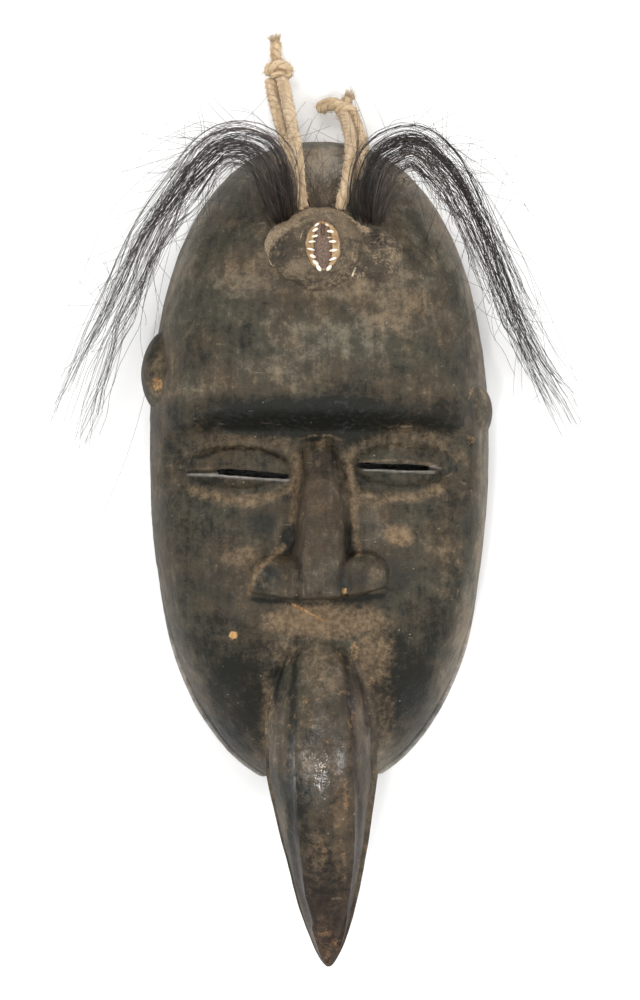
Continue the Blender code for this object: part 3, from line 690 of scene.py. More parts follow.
LEFT_FRONT = (
    (-0.0912, 0.7460, 0.7230), (-0.0985, 0.7944, 0.8176), (-0.1147, 0.8629, 0.8446),
    (-0.1294, 0.9548, 0.7432), (-0.1588, 1.0419, 0.5473), (-0.1912, 1.1403, 0.3041),
    (-0.2206, 1.2016, 0.1419),
)
LEFT_REAR = (
    (-0.1294, 0.8306, 0.5946), (-0.1353, 0.8839, 0.6757), (-0.1706, 0.9508, 0.6081),
    (-0.2250, 1.0419, 0.4392), (-0.2676, 1.1403, 0.2162), (-0.2882, 1.2016, 0.0946),
)
RIGHT_FRONT = (
    (0.1206, 0.7460, 0.7230), (0.1324, 0.7944, 0.8108), (0.1559, 0.8419, 0.8176), (0.1794, 0.9258, 0.7027),
    (0.1853, 1.0032, 0.5000), (0.1588, 1.0645, 0.2568), (0.1353, 1.0968, 0.1149),
)
RIGHT_REAR = (
    (0.2176, 0.8387, 0.5676), (0.2353, 0.8911, 0.6622), (0.2559, 0.9548, 0.5811), (0.2471, 1.0048, 0.3919),
    (0.2235, 1.0484, 0.2162), (0.2029, 1.0847, 0.0878),
)

# Each knot's turns of cord, as places in px, py and height above the table in mm, and half thickness
KNOTS = {
    "left": (
        (((268.5, 73, 8.0), (270.5, 66, 10.0), (278, 62.5, 10.5), (286, 65, 9.6), (289, 70, 7.8)), 0.00215),
        (((289, 68, 7.0), (286, 73, 8.4), (278, 71.5, 10.0), (270, 72.5, 8.8)), 0.00205),
        (((278, 66, 6.2), (276.5, 58, 6.4), (275, 49, 5.2), (275.5, 41, 4.6), (275, 37.5, 4.4)), 0.00225),
    ),
    "right": (
        (((350, 122, 8.6), (347.5, 113, 9.4), (339, 104.5, 9.2), (330, 102, 8.0), (322, 105.5, 6.6),
          (318.5, 109, 5.6)), 0.00285),
        (((337, 112, 9.0), (343, 105.5, 11.0), (351, 108, 10.6), (354.5, 115.5, 8.0),
          (352, 121, 6.4)), 0.00205),
        (((343, 110, 8.0), (345, 103, 8.0), (347.5, 98, 7.0), (349, 95, 6.4)), 0.00195),
    ),
}
STRANDS = 3
ROPE_SIDES = 36
ROPE_RING_STEP = 0.00042
HAIR_SIDES = 3
FUZZ_RADIUS = 0.000068
LEAST_FUZZ = 0.0006


def route_in_metres(shares):
    """A route given in shares of the face's half width, upper length and height."""
    return np.array(shares) * np.array((FACE_HALF_WIDTH, UP, FOREHEAD_HEIGHT))


def px_route(places, count):
    """A smooth route through places given as px, py and height above the table in mm."""
    return smooth_route([(*pixel(px, py), mm / 1000.0) for px, py, mm in places], count)


def across_frames(points):
    """Two directions across a route at each of its points, carried along it without twisting."""
    ahead = np.gradient(points, axis=0)
    ahead /= np.linalg.norm(ahead, axis=1)[:, None]
    side = unit(np.cross(ahead[0], (0.0, 0.0, 1.0)))
    sides = []
    for a in ahead:
        side = unit(side - a * (side @ a))
        sides.append(side)
    sides = np.array(sides)
    return sides, np.cross(sides, ahead), ahead


def rope_mesh(name, points, radius, seed, pitch):
    """A soft twisted rope along a route, and for each point its fibre's tone and how deep it lies in a
    furrow, for painted shade.
    """
    length = run_length(points)
    rings = max(24, int(length / ROPE_RING_STEP))
    centre = smooth_route(points, rings)
    run, angle = np.linspace(0.0, length, rings), full_turn(ROPE_SIDES)
    a_run, a_angle = np.meshgrid(run, angle, indexing="ij")
    phase = 2.0 * math.pi * a_run / pitch + 0.5 * np.sin(a_run / 0.009 + seed)
    lobe = (a_angle - phase) % (2.0 * math.pi / STRANDS) - math.pi / STRANDS

    # Three strands, each round, set off from the rope's middle
    offset, bulge = 0.27 * radius, 0.75 * radius
    across = offset * np.sin(lobe)
    wall = offset * np.cos(lobe) + np.sqrt(np.maximum(bulge**2 - across**2, 1e-12))
    furrow = ease(0.97, 0.81, wall / radius)
    skin = np.column_stack((a_run.ravel() * 130.0, a_angle.ravel() * 2.2, np.full(a_run.size, seed)))
    lumps = fractal(skin, 1.0, seed).reshape(a_run.shape)
    along_strand = (lobe * STRANDS / math.pi + 1.0) * 3.0 + a_run * 420.0
    fibre = np.sin(along_strand * 3.1 + 3.0 * lumps)
    from_end = np.clip(np.minimum(run, length - run) / (0.8 * radius), 0.0, 1.0)
    rounded = np.sqrt(np.maximum(1.0 - (1.0 - from_end) ** 2, 0.02))
    swell = (1.0 + 0.05 * np.sin(run / 0.0071 + seed)) * rounded
    wall = wall * (1.0 + 0.13 * lumps + 0.015 * fibre) * swell[:, None]

    mesh = capped_tube(name, rings_round(centre, wall[..., None], angle), centre[0], centre[-1])
    tone = 0.52 + 0.12 * fibre + 0.85 * lumps
    depth = (0.75 + 1.6 * lumps) * furrow
    return mesh, np.append(tone, (0.5, 0.5)), np.append(depth, (0.0, 0.0))


def tubes_mesh(name, paths, radii):
    """Thin closed tubes along many paths, and for each point the number of its path."""
    points, quads, ends, owner = [], [], [], []
    base = 0
    i = np.arange(HAIR_SIDES)[None, :]
    j = (i + 1) % HAIR_SIDES
    for k, (path, radius) in enumerate(zip(paths, radii)):
        n = len(path)
        thin = radius * (1.0 - 0.25 * np.linspace(0.0, 1.0, n) ** 3)
        points.append(rings_round(path, thin[:, None, None], full_turn(HAIR_SIDES)).reshape(-1, 3))
        low = base + np.arange(n - 1)[:, None] * HAIR_SIDES
        high = low + HAIR_SIDES
        quads.append(np.stack((low + i, low + j, high + j, high + i), axis=-1).reshape(-1, 4))
        owner.append(np.full(n * HAIR_SIDES, k))
        last = base + (n - 1) * HAIR_SIDES
        ends += [tuple(range(base + HAIR_SIDES - 1, base - 1, -1)), tuple(range(last, last + HAIR_SIDES))]
        base += n * HAIR_SIDES
    mesh = mesh_from(name, np.vstack(points), [*np.vstack(quads).tolist(), *ends])
    return mesh, np.concatenate(owner)


def fuzz_paths(points, count, rng, radius, longest):
    """Short loose fibres that stand off a rope."""
    centre = smooth_route(points, 160)
    u, v, ahead = across_frames(centre)
    steps = np.linspace(0.0, 1.0, 5)[:, None]
    paths = []
    for _ in range(count):
        k = int(rng.uniform(0.0, 1.0) * 158)
        angle = rng.uniform(0.0, 2.0 * math.pi)
        out = u[k] * math.cos(angle) + v[k] * math.sin(angle)
        start = centre[k] + out * radius * 0.85
        length = rng.uniform(0.0005, 1.0) ** 2 * (longest - LEAST_FUZZ) + LEAST_FUZZ
        lean = ahead[k] * rng.uniform(-1.2, 1.2) + np.cross(ahead[k], out) * rng.uniform(-1.3, 1.3)
        curl = rng.normal(0.0, 0.25, 3)
        path = start + length * (steps * (0.45 * out + 0.55 * lean) + steps**2 * curl)
        path[:, 2] = np.maximum(path[:, 2], LEAST_HEIGHT)
        paths.append(path)
    return paths


def frayed_end(path, count, rng, radius):
    """Fibres that splay out of a rope's cut end."""
    ahead = unit(path[-1] - path[-3])
    steps = np.linspace(0.0, 1.0, 6)[:, None]
    out = []
    for _ in range(count):
        side = rng.normal(0.0, 1.0, 3)
        side = unit(side - ahead * (side @ ahead))
        start = path[-2] + side * radius * rng.uniform(0.1, 0.9)
        length = rng.uniform(0.0012, 0.0034)
        straight = steps * (ahead + side * rng.uniform(0.0, 0.7))
        line = start + length * (straight + steps**2 * rng.normal(0, 0.2, 3))
        line[:, 2] = np.maximum(line[:, 2], LEAST_HEIGHT)
        out.append(line)
    return out


def finish_piece(name, mesh, look, node, sharp=None):
    """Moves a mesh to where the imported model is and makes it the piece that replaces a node."""
    place(mesh, positions(mesh) + np.array(SHIFT))
    mesh.shade_smooth()
    if sharp is not None:
        mesh.set_sharp_from_angle(angle=math.radians(sharp))
    mesh.materials.clear()
    mesh.materials.append(look)
    piece = new_object(name, mesh)
    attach(piece, "root")
    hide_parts(node)
    return piece


def rope_piece(node, look, seed, turns, pitch, fuzz, longest, frayed=0):
    """One piece of rope in one or more turns, each a route and a radius, with loose fibres on it."""
    rng = np.random.default_rng(seed)
    bm = bmesh.new()
    tones, depths = [], []
    for k, (path, radius) in enumerate(turns):
        mesh, tone, depth = rope_mesh(f"turn_{k}", path, radius, seed + k, pitch)
        fibres = fuzz_paths(path, fuzz, rng, radius, longest)
        if k == len(turns) - 1:
            fibres += frayed_end(path, frayed, rng, radius)
        hairs, owner = tubes_mesh(f"fuzz_{k}", fibres, [FUZZ_RADIUS] * len(fibres))
        bm.from_mesh(mesh)
        bm.from_mesh(hairs)
        tones += [tone, rng.uniform(0.4, 1.0, len(fibres))[owner]]
        depths += [depth, np.zeros(len(owner))]
    whole = mesh_of(node, bm)
    paint(whole, "fibre", np.concatenate(tones))
    paint(whole, "depth", np.concatenate(depths))
    return finish_piece(f"{node}_rope", whole, look, node)


def make_cords(look):
    """The four strands, each with its route."""
    rope = {}
    for name, shares, seed in (
        ("cord_left_front", LEFT_FRONT, 3),
        ("cord_left_rear", LEFT_REAR, 5),
        ("cord_right_front", RIGHT_FRONT, 7),
        ("cord_right_rear", RIGHT_REAR, 9),
    ):
        points = smooth_route(route_in_metres(shares), 40)
        turns = [(points, CORD_DIAMETER / 2.0)]
        rope[name] = (rope_piece(name, look, seed, turns, pitch=0.0130, fuzz=1700, longest=0.0022), points)
    return rope


def make_knots(look):
    """The two knots: turns of the same cord over the strands' ends, with a short fuzzy end."""
    made = {}
    for name, seed in (("left", 21), ("right", 23)):
        turns = [(px_route(places, 40), radius) for places, radius in KNOTS[name]]
        more = {"pitch": 0.0120, "fuzz": 420, "longest": 0.0026, "frayed": 170}
        made[name] = rope_piece(f"knot_{name}", look, seed, turns, **more)
    return made


# The mask

COLUMNS, ROWS = 196, 345
HOLLOW_COLUMNS, HOLLOW_ROWS = 64, 96
SPREAD_STEPS = 30001
SHORT_OF_EDGE = 2e-5

# Each ear: level on the face, half length, how far it stands out, side, half thickness and height
EARS = (
    (0.248 * UP, 0.0172, 0.0042, -1.0, 0.0105, 0.0265),
    (0.125 * UP, 0.0140, 0.0016, 1.0, 0.0125, 0.0315),
)
EAR_HALF_DEPTH = 0.0165

# Each eye slit: its middle and its turn in degrees
SLITS = (
    (-0.385 * FACE_HALF_WIDTH, -0.078 * UP, -4.4),
    (0.430 * FACE_HALF_WIDTH, -0.055 * UP, -2.2),
)
SLIT_HALF_LENGTH = 0.0142
SLIT_HALF_HEIGHT = 0.00125
SLIT_POINTS = 56

BEAK_TIP_Y = -(FACE_LOWER_LENGTH + 0.0714)
BEAK_LENGTH = 0.1364
BEAK_MIDDLE = 0.0008
BEAK_HALF_WIDTH = 0.0222
PEAK_HEIGHT = 0.084
PEAK_FROM_TIP = 0.086
TIP_HEIGHT = 0.046
ROOT_HEIGHT = 0.057


def bent_rows(x, y):
    """Bends the rows near the brow's edge and the nose's lower edge, so that they follow both."""
    for line, level, reach in (
        (brow_line, BROW_Y, 0.14 * UP),
        (nose_line, BROW_Y - NOSE_LENGTH, 0.10 * DOWN),
    ):
        near = ease(reach, 0.0, np.abs(y - level)) * ease(0.95, 0.75, np.abs(x) / FACE_HALF_WIDTH)
        y = y + (line(x) - level) * near
    return y


def row_levels(count, grow):
    """Levels of the mask's rows, close together at the eyes and nose and evenly up the end walls."""
    lower, upper = DOWN + grow, UP + grow
    below = -lower + lower * np.linspace(0.0, 1.0, SPREAD_STEPS) ** 3
    above = upper * (1.0 - np.linspace(1.0, 0.0, SPREAD_STEPS)[1:] ** 3)
    inside = 1.0 - SHORT_OF_EDGE
    y = np.clip(np.concatenate((below, above)), -inside * lower, inside * upper)
    z = plain_front(np.zeros_like(y), y, grow, PLAIN_EDGE)
    middle = (y[1:] + y[:-1]) / 2.0
    steps = np.hypot(np.diff(y), 0.5 * np.diff(z))
    steps = steps * (1.0 + 0.9 * ease(-0.075, -0.062, middle) * ease(0.016, 0.010, middle))
    return evenly(y, steps, count)


def block_points(front, grow, columns, rows, brow_edge):
    """Grid of points over the front: rows across the face, evenly spaced along each section."""
    levels = row_levels(rows, grow)
    share = np.linspace(-1.0, 1.0, 1601)
    fine = np.sign(share) * (1.0 - (1.0 - np.abs(share)) ** 3)
    x = np.empty((rows, columns))
    for r, level in enumerate(levels):
        across = half_width(level, grow) * fine
        z = plain_front(across, np.full_like(across, level), grow, brow_edge)
        steps = np.hypot(np.diff(across), np.diff(z) * 0.55)
        middle = np.abs(across[1:] + across[:-1]) / 2.0
        x[r] = evenly(fine, steps * (1.0 + 0.35 * ease(0.060, 0.050, middle)), columns)
    y = bent_rows(x * half_width(levels, grow)[:, None], np.repeat(levels[:, None], columns, axis=1))
    x = x * half_width(y, grow)
    return np.stack((x, y, front(x, y)), axis=-1)


def block_mesh(name, grid, depth):
    """A closed block under a grid of points, with straight sides and a flat bottom."""
    rows, columns, _ = grid.shape
    index = np.arange(rows * columns).reshape(rows, columns)
    corners = (index[:-1, :-1], index[:-1, 1:], index[1:, 1:], index[1:, :-1])
    quads = np.stack(corners, axis=-1).reshape(-1, 4)
    border = np.concatenate((index[0, :-1], index[:-1, -1], index[-1, :0:-1], index[:0:-1, 0]))
    points = grid.reshape(-1, 3)
    low = points[border].copy()
    low[:, 2] = -depth
    bottom = len(points) + np.arange(len(border))
    sides = np.stack((border, bottom, np.roll(bottom, -1), np.roll(border, -1)), axis=-1)
    return outward(mesh_from(name, np.vstack((points, low)), [*quads.tolist(), *sides.tolist(), bottom]))


def beak_section(from_tip):
    """Points round the beak at a distance from its tip, from the right over its back and under it."""
    taper = min(from_tip / 0.077, 1.0) ** 0.6
    from_root = min(max((BEAK_LENGTH - from_tip) / 0.040, 0.02), 1.0)
    half = BEAK_HALF_WIDTH * taper * math.sin(from_root * math.pi / 2.0) ** 0.6
    behind_tip = min(from_tip / PEAK_FROM_TIP, 1.0)
    past_peak = max(from_tip - PEAK_FROM_TIP, 0.0) / (BEAK_LENGTH - PEAK_FROM_TIP)
    to_tip = (PEAK_HEIGHT - TIP_HEIGHT) * (1.0 - behind_tip) ** 2
    back = PEAK_HEIGHT - to_tip - (PEAK_HEIGHT - ROOT_HEIGHT) * past_peak**1.6
    middle = 0.0038 + (BEAK_MIDDLE - 0.0038) * behind_tip**1.3

    # The back, the mouth line, the keel under it and the lip over it
    culmen = 0.0124 * (1.0 - 0.2 * past_peak)
    culmen = (culmen**-4 + (0.78 * half) ** -4) ** -0.25
    crown = 0.30 * culmen
    mouth = TIP_HEIGHT + (0.060 - TIP_HEIGHT) * behind_tip**0.8 - 0.0022
    mouth = min(mouth, back - crown - 0.25 * half)
    keel = min(TIP_HEIGHT + (0.037 - TIP_HEIGHT) * behind_tip - 0.0044, mouth - 0.3 * half)
    flank = mouth + 0.5 * (back - crown - mouth)
    depth = mouth - keel
    lip = mouth + min(0.06 * depth, 0.5 * (flank - mouth))
    groove = min(0.0011, 0.2 * half)
    jaw, low_jaw, under = mouth - 0.10 * depth, mouth - 0.40 * depth, keel + 0.12 * depth

    points = []
    for t in (1.0, 0.82, 0.62, 0.42, 0.22, 0.0, -0.22, -0.42, -0.62, -0.82, -1.0):
        points.append((middle + 0.05 * half + t * culmen, back - crown * abs(t) ** 2.2))
    for out, shift, z in (
        (-0.80, 0.0, flank), (-0.94, 0.0, lip), (-0.94, groove, mouth), (-1.00, 0.0, jaw),
        (-0.97, 0.0, low_jaw), (-0.62, 0.0, under), (0.0, 0.0, keel), (0.62, 0.0, under),
        (0.97, 0.0, low_jaw), (1.00, 0.0, jaw), (0.87, -groove, mouth), (0.88, 0.0, lip), (0.80, 0.0, flank),
    ):
        points.append((middle + out * half + shift, z))
    ring = np.array(points + points[:1])
    per_side = [2] * 10 + [5, 3, 3, 3, 4, 6, 6, 6, 6, 4, 3, 3, 3, 5]
    return np.array([a + (b - a) * k / n for a, b, n in zip(ring, ring[1:], per_side) for k in range(n)])


def beak_mesh():
    rings = []
    for from_tip in np.maximum(np.linspace(0.0, 1.0, 170) ** 1.35 * BEAK_LENGTH, 0.0003):
        rings.append(np.insert(beak_section(float(from_tip)), 1, BEAK_TIP_Y + from_tip, axis=1))
    rings = np.array(rings)
    return outward(capped_tube("beak", rings, rings[0].mean(axis=0), rings[-1].mean(axis=0)))


def ear_mesh(centre, radii):
    bm = bmesh.new()
    bmesh.ops.create_uvsphere(bm, u_segments=56, v_segments=36, radius=1.0)
    bmesh.ops.scale(bm, vec=radii, verts=bm.verts)
    bmesh.ops.translate(bm, vec=centre, verts=bm.verts)
    return mesh_of("ear", bm)


def slit_mesh(x, y, turn):
    """An upright prism with the outline of an eye slit: long, thin and nearly square-ended."""
    angle = full_turn(SLIT_POINTS)
    c, s = np.cos(angle), np.sin(angle)
    across = SLIT_HALF_LENGTH * np.sign(c) * np.abs(c) ** 0.45
    up = SLIT_HALF_HEIGHT * np.sign(s) * np.abs(s) ** 0.55
    up = up * (1.0 + 0.12 * np.sin(across / 0.0021))
    a, b = math.cos(math.radians(turn)), math.sin(math.radians(turn))
    edge = (x + across * a - up * b, y + across * b + up * a)
    rings = np.array([np.column_stack((*edge, np.full(SLIT_POINTS, z))) for z in (0.024, 0.124)])
    return outward(capped_tube("slit", rings, rings[0].mean(axis=0), rings[1].mean(axis=0)))


def passage_mesh(shares):
    """The round passage of one strand, carried on through the wood behind the strand's root."""
    points = smooth_route(route_in_metres(shares), 14)
    points = np.vstack((points[0] + unit(points[0] - points[1]) * 2.0 * WALL, points))
    rings = rings_round(points, CORD_DIAMETER / 2.0 + PASSAGE_CLEARANCE, full_turn(20))
    return outward(capped_tube("passage", rings, points[0], points[-1]))


def below_rim():
    bm = bmesh.new()
    bmesh.ops.create_cube(bm, size=1.0)
    bmesh.ops.translate(bm, vec=(0.0, 0.0, -0.5), verts=bm.verts)
    return mesh_of("below_rim", bm)


def make_mask(look):
    grid = block_points(carved_front, 0.0, COLUMNS, ROWS, PLAIN_EDGE)
    mask = new_object("mask_block", block_mesh("mask_block", grid, WALL))
    combine(mask, beak_mesh(), "UNION")
    for y, half_length, out, side, thick, z in EARS:
        x = side * (float(half_width(np.float64(y), 0.0)) + out - thick)
        combine(mask, ear_mesh((x, y, z), (thick, half_length, EAR_HALF_DEPTH)), "UNION")
    inner = block_points(hollow_front, -WALL, HOLLOW_COLUMNS, HOLLOW_ROWS, HOLLOW_EDGE)
    cuts = [block_mesh("hollow", inner, 3.0 * WALL)]
    cuts += [slit_mesh(*slit) for slit in SLITS]
    cuts += [passage_mesh(shares) for shares in (LEFT_FRONT, LEFT_REAR, RIGHT_FRONT, RIGHT_REAR)]
    for cut in (*cuts, below_rim()):
        combine(mask, cut, "DIFFERENCE")
    mesh = mask.data
    bpy.data.objects.remove(mask)
    soften_beak_root(mesh)
    carve(mesh)
    weather(mesh)
    finish_piece("mask_carving", mesh, look, "carved_mask", sharp=38.0)


def soften_beak_root(mesh):
    """Rounds off the edges where the beak's back and sides grow out of the face."""
    bm = bmesh.new()
    bm.from_mesh(mesh)
    x, y, z = np.array([v.co for v in bm.verts]).T
    ridge = (z > 0.052) & (y > -0.0900) & (y < -0.0690) & (np.abs(x - 0.0012) < 0.0125 + 0.2 * (-0.069 - y))
    smooth_points(bm, ridge, 30, False)
    x, y, z = np.array([v.co for v in bm.verts]).T
    above = z - carved_front(x, y)
    seam = (y > -0.128) & (y < -0.066) & (np.abs(x - BEAK_MIDDLE) < 0.030) & (z > 0.022)
    smooth_points(bm, seam & (above > -0.0010) & (above < 0.0042), 12, True)
    bm.to_mesh(mesh)
    bm.free()


def smooth_points(bm, chosen, rounds, sideways):
    """Smooths the chosen points, and up and down alone unless sideways is true."""
    bm.verts.ensure_lookup_table()
    near = [bm.verts[int(i)] for i in np.flatnonzero(chosen)]
    axes = {"use_axis_x": sideways, "use_axis_y": sideways, "use_axis_z": True}
    for _ in range(rounds):
        bmesh.ops.smooth_vert(bm, verts=near, factor=0.5, **axes)


def chin_rim(co):
    """1 on the lowest few millimetres of the outside round the chin, where the pale edge stands out."""
    x, y, z = co.T
    chin = ease(-0.045, -0.085, y) * np.where(y < -0.112, ease(0.0205, 0.0235, np.abs(x - BEAK_MIDDLE)), 1.0)
    return chin * ease(0.0052, 0.0036, z) * (1.0 - inside_share(co))


def inside_share(co):
    """1 on the hollow's walls and 0 on the outside of the wood."""
    x, y, z = co.T
    within = outline_share(x, y, -WALL) < 1.03
    return np.where(within & (hollow_front(x, y) - z > -0.0016), 1.0, 0.0)


# Grooves beside the eyes, the nose and the beak: places in px, half width in px and depth
GROOVES = (
    (((188, 473.5), (204, 473.0), (221, 472.5)), 2.2, 0.0011), (((424, 468.5), (437, 469.5)), 2.2, 0.0009),
    (((290, 553), (299, 565), (301, 582), (298, 594)), 5.5, 0.0011),
    (((350, 553), (343, 565), (341, 582), (344, 594)), 5.5, 0.0011),
    (((299, 636), (290, 648), (281, 661), (276, 684), (272, 712)), 4.0, 0.0006),
    (((337, 646), (346, 664), (357, 676), (364, 696), (367, 720)), 6.0, 0.0011),
    (((293, 672), (290.5, 758), (292, 830), (299.5, 881), (311, 922)), 3.6, 0.0007),
    (((347, 690), (354.5, 763), (359.5, 804), (357, 855), (349, 906), (338, 942)), 3.4, 0.0007),
)


def carve(mesh):
    """Lumps from the tools, grooves and a thicker chin rim, moved along the surface's own direction."""
    co, out = positions(mesh), normals(mesh)
    inside = inside_share(co)
    move = 0.00040 * fractal(co, (0.014, 0.026, 0.016), 5, 2)
    move += 0.00020 * fractal(co, (0.0040, 0.0065, 0.0046), 11, 2)
    move += 0.0007 * inside * fractal(co, (0.010, 0.022, 0.012), 23, 2)
    for places, reach, depth in GROOVES:
        move -= depth * lines(co, ((1.0, reach, *places),)) * (co[:, 2] > 0.03) * (1.0 - inside)
    co = co + out * (move * ease(0.0, 0.004, co[:, 2]))[:, None]
    flat = out[:, :2] / np.maximum(np.linalg.norm(out[:, :2], axis=1), 1e-6)[:, None]
    co[:, :2] += flat * (0.0020 * chin_rim(co))[:, None]
    place(mesh, co)


def spots(co, places):
    """The strongest of several oval patches, each as px, py, half sizes in px, strength and turn."""
    total = np.zeros(len(co))
    for px, py, rx, ry, strength, *turn in places:
        x, y = pixel(px, py)
        out = oval_share(co[:, 0] - x, co[:, 1] - y, rx * PIXEL, ry * PIXEL, *(turn or (0.0,)))
        total = np.maximum(total, strength * (1.0 - ease(0.4, 1.6, out)))
    return total


def lines(co, places):
    """The strongest of several soft lines, each as strength, half width in px and its places in px."""
    total = np.zeros(len(co))
    for strength, reach, *line in places:
        part = near_line(co, [pixel(*place_at) for place_at in line], reach * PIXEL)
        total = np.maximum(total, strength * part)
    return total


# Dusty, dark, black, tan, bare and polished places of the wood, with painted light, painted highlights and
# painted shadow among them, as ovals for spots and lines for lines
DUST_AND_PAINTED_LIGHT = (
    (0.20, ((330, 350, 80, 40, 0.5), (240, 300, 60, 70, 0.7), (405, 300, 50, 60, 0.9),
            # painted light over the top of the forehead
            (318, 172, 60, 26, 0.9))),
    # painted highlights on the nose's tip and wings
    (0.22, ((322, 574, 14, 16, 1.0), (262, 574, 6, 16, 0.8, 20.0), (377, 580, 8, 14, 0.8))),
    # painted light over the top of the forehead, and a lighter patch under the nose
    (0.34, ((316, 172, 36, 30, 1.45), (322, 622, 60, 18, 0.25))),
    (0.12, ((372, 318, 56, 50, 0.8), (310, 372, 50, 26, 0.5))),
    (0.20, ((318, 665, 24, 40, 0.4), (320, 500, 20, 50, 0.6), (372, 690, 26, 60, 0.9),
            (370, 524, 12, 24, 0.9), (226, 584, 28, 24, 0.6))),
)
DUSTY_LINES = (
    (0.8, 16.0, (222, 180), (196, 232), (180, 300)), (1.0, 16.0, (424, 180), (452, 232), (470, 300)),
)
DARK = (
    (318, 417, 135, 21, 1.0), (236, 700, 32, 66, 0.80, -18.0), (404, 700, 32, 66, 0.92, 18.0),
    (205, 620, 30, 60, 0.30), (436, 610, 26, 80, 0.18), (324, 312, 44, 12, 0.42), (318, 715, 22, 30, 0.25),
    (288, 540, 7, 15, 0.80), (350, 541, 7, 14, 0.80), (154, 350, 10, 20, 0.50), (462, 412, 5, 20, 0.40),
    (345, 373, 40, 13, 0.35), (205, 545, 26, 60, 0.25), (239, 478, 46, 10, 0.30), (395, 479, 44, 10, 0.30),
    (239, 462, 46, 9, 0.18), (400, 458, 44, 9, 0.18), (318, 458, 18, 20, 0.25), (345, 395, 60, 20, 0.5),
    (272, 200, 20, 34, 0.25), (322, 895, 22, 60, 0.50), (300, 840, 12, 60, 0.30), (185, 480, 14, 60, 0.3),
)
SHADOW_AND_DARK_LINES = (
    (0.5, 5.0, (290, 552), (299, 564), (301, 580), (297, 596)),
    (0.5, 5.0, (350, 552), (343, 564), (341, 580), (346, 596)),
    (0.5, 3.0, (200, 458), (228, 449), (262, 450), (284, 460)),
    # painted shadow under the nose's lower edge
    (0.9, 4.0, (252, 598), (276, 601), (301, 604), (340, 602), (383, 594)),
    (0.55, 5.0, (300, 636), (290, 650), (282, 664), (277, 690), (272, 730)),
    (0.8, 6.0, (340, 650), (350, 668), (360, 680), (365, 700), (367, 730)),
    (0.35, 2.4, (228, 301), (243, 304), (257, 303), (276, 307)),
    # painted shadow lines along both edges of the beak's back
    (0.9, 6.0, (295, 650), (293, 700), (291, 758), (292, 830), (300, 881), (312, 924)),
    (0.9, 5.0, (345, 660), (351, 700), (354, 763), (359, 804), (357, 855), (349, 906), (338, 942)),
)
BLACK = (
    (318, 417, 132, 19, 0.55), (226, 584, 28, 24, 0.60), (268, 580, 15, 15, 0.90),
    (345, 578, 30, 14, 0.55), (402, 566, 22, 24, 0.48), (368, 524, 12, 24, 0.45), (262, 525, 16, 18, 0.60),
    (310, 500, 12, 30, 0.35), (288, 540, 6, 12, 0.80), (350, 541, 6, 12, 0.80),
    (236, 700, 26, 56, 0.35, -18.0), (404, 700, 25, 55, 0.35, 18.0), (344, 372, 34, 12, 0.35),
    (350, 690, 12, 26, 0.55),
)
TAN = (
    (398, 535, 15, 11, 0.80, -10.0), (242, 557, 20, 13, 0.50), (325, 620, 62, 18, 0.78),
    (321, 446, 5, 7, 0.50), (396, 426, 26, 7, 0.42), (374, 575, 12, 18, 0.30), (372, 655, 22, 34, 0.52),
    (385, 715, 12, 34, 0.34), (284, 652, 18, 14, 0.42), (268, 715, 8, 50, 0.46), (238, 560, 40, 50, 0.20),
    (430, 520, 30, 60, 0.20), (340, 806, 9, 40, 0.46), (318, 846, 12, 24, 0.40), (340, 852, 9, 26, 0.42),
    (328, 912, 10, 16, 0.30), (330, 655, 18, 6, 0.46), (158, 380, 12, 30, 0.40), (478, 412, 12, 26, 0.22),
)
TAN_LINES = (
    (0.38, 16.0, (182, 466), (188, 452), (212, 442), (255, 440), (285, 445), (295, 458), (296, 470)),
    (0.56, 14.0, (194, 490), (218, 498), (245, 501), (272, 497), (292, 488)),
    (0.40, 16.0, (347, 470), (350, 455), (364, 444), (392, 439), (425, 439), (452, 447), (460, 460)),
    (0.54, 13.0, (350, 484), (360, 495), (385, 499), (415, 497), (438, 490)),
    (0.66, 9.0, (350, 468), (353, 500), (355, 530), (358, 554)),
    (0.62, 9.0, (298, 462), (296, 490), (293, 520)),
    (0.72, 6.0, (249, 592), (256, 572), (270, 558), (284, 546)),
    (0.45, 3.0, (300, 440), (312, 436), (330, 436), (341, 440)),
    (0.45, 3.0, (360, 462), (400, 460), (438, 466)), (0.45, 3.0, (186, 470), (215, 468)),
)
RAW = (
    (342, 848, 5, 20, 0.50, 10.0), (346, 792, 5, 24, 0.52), (331, 806, 6, 12, 0.44),
    (344, 590, 3, 5, 0.75), (234, 634, 5, 4, 1.0), (328, 957, 7, 9, 0.5), (330, 918, 6, 16, 0.38),
    (158, 385, 7, 10, 0.62), (470, 440, 8, 7, 0.52), (354, 650, 6, 14, 0.50), (321, 848, 10, 14, 0.46),
)
RAW_LINES = (
    (0.80, 3.2, (292, 603), (306, 610), (322, 619)), (0.62, 3.0, (468, 399), (473, 387)),
    (0.46, 2.4, (337, 800), (334, 822), (340, 838)), (0.44, 2.4, (318, 838), (324, 852), (321, 866)),
    (0.55, 2.2, (314, 652), (335, 650), (342, 656)), (0.60, 2.0, (316, 684), (320, 690), (323, 698)),
    (0.50, 2.2, (331, 708), (340, 712)),
)
# painted highlights along the lower lips of the eye slits
SLIT_LIP_HIGHLIGHTS = (
    (0.46, 2.2, (190, 474.4), (218, 475.4), (253, 478.2), (288, 480.6)),
    (0.45, 1.5, (364, 469.8), (392, 471.2), (434, 472.6)), (0.35, 1.5, (430, 466.5), (439, 468.5)),
)
POLISHED = (
    (312, 762, 21, 34, 1.0), (336, 748, 9, 30, 0.9), (322, 700, 20, 40, 0.16), (325, 860, 24, 80, 0.12),
)


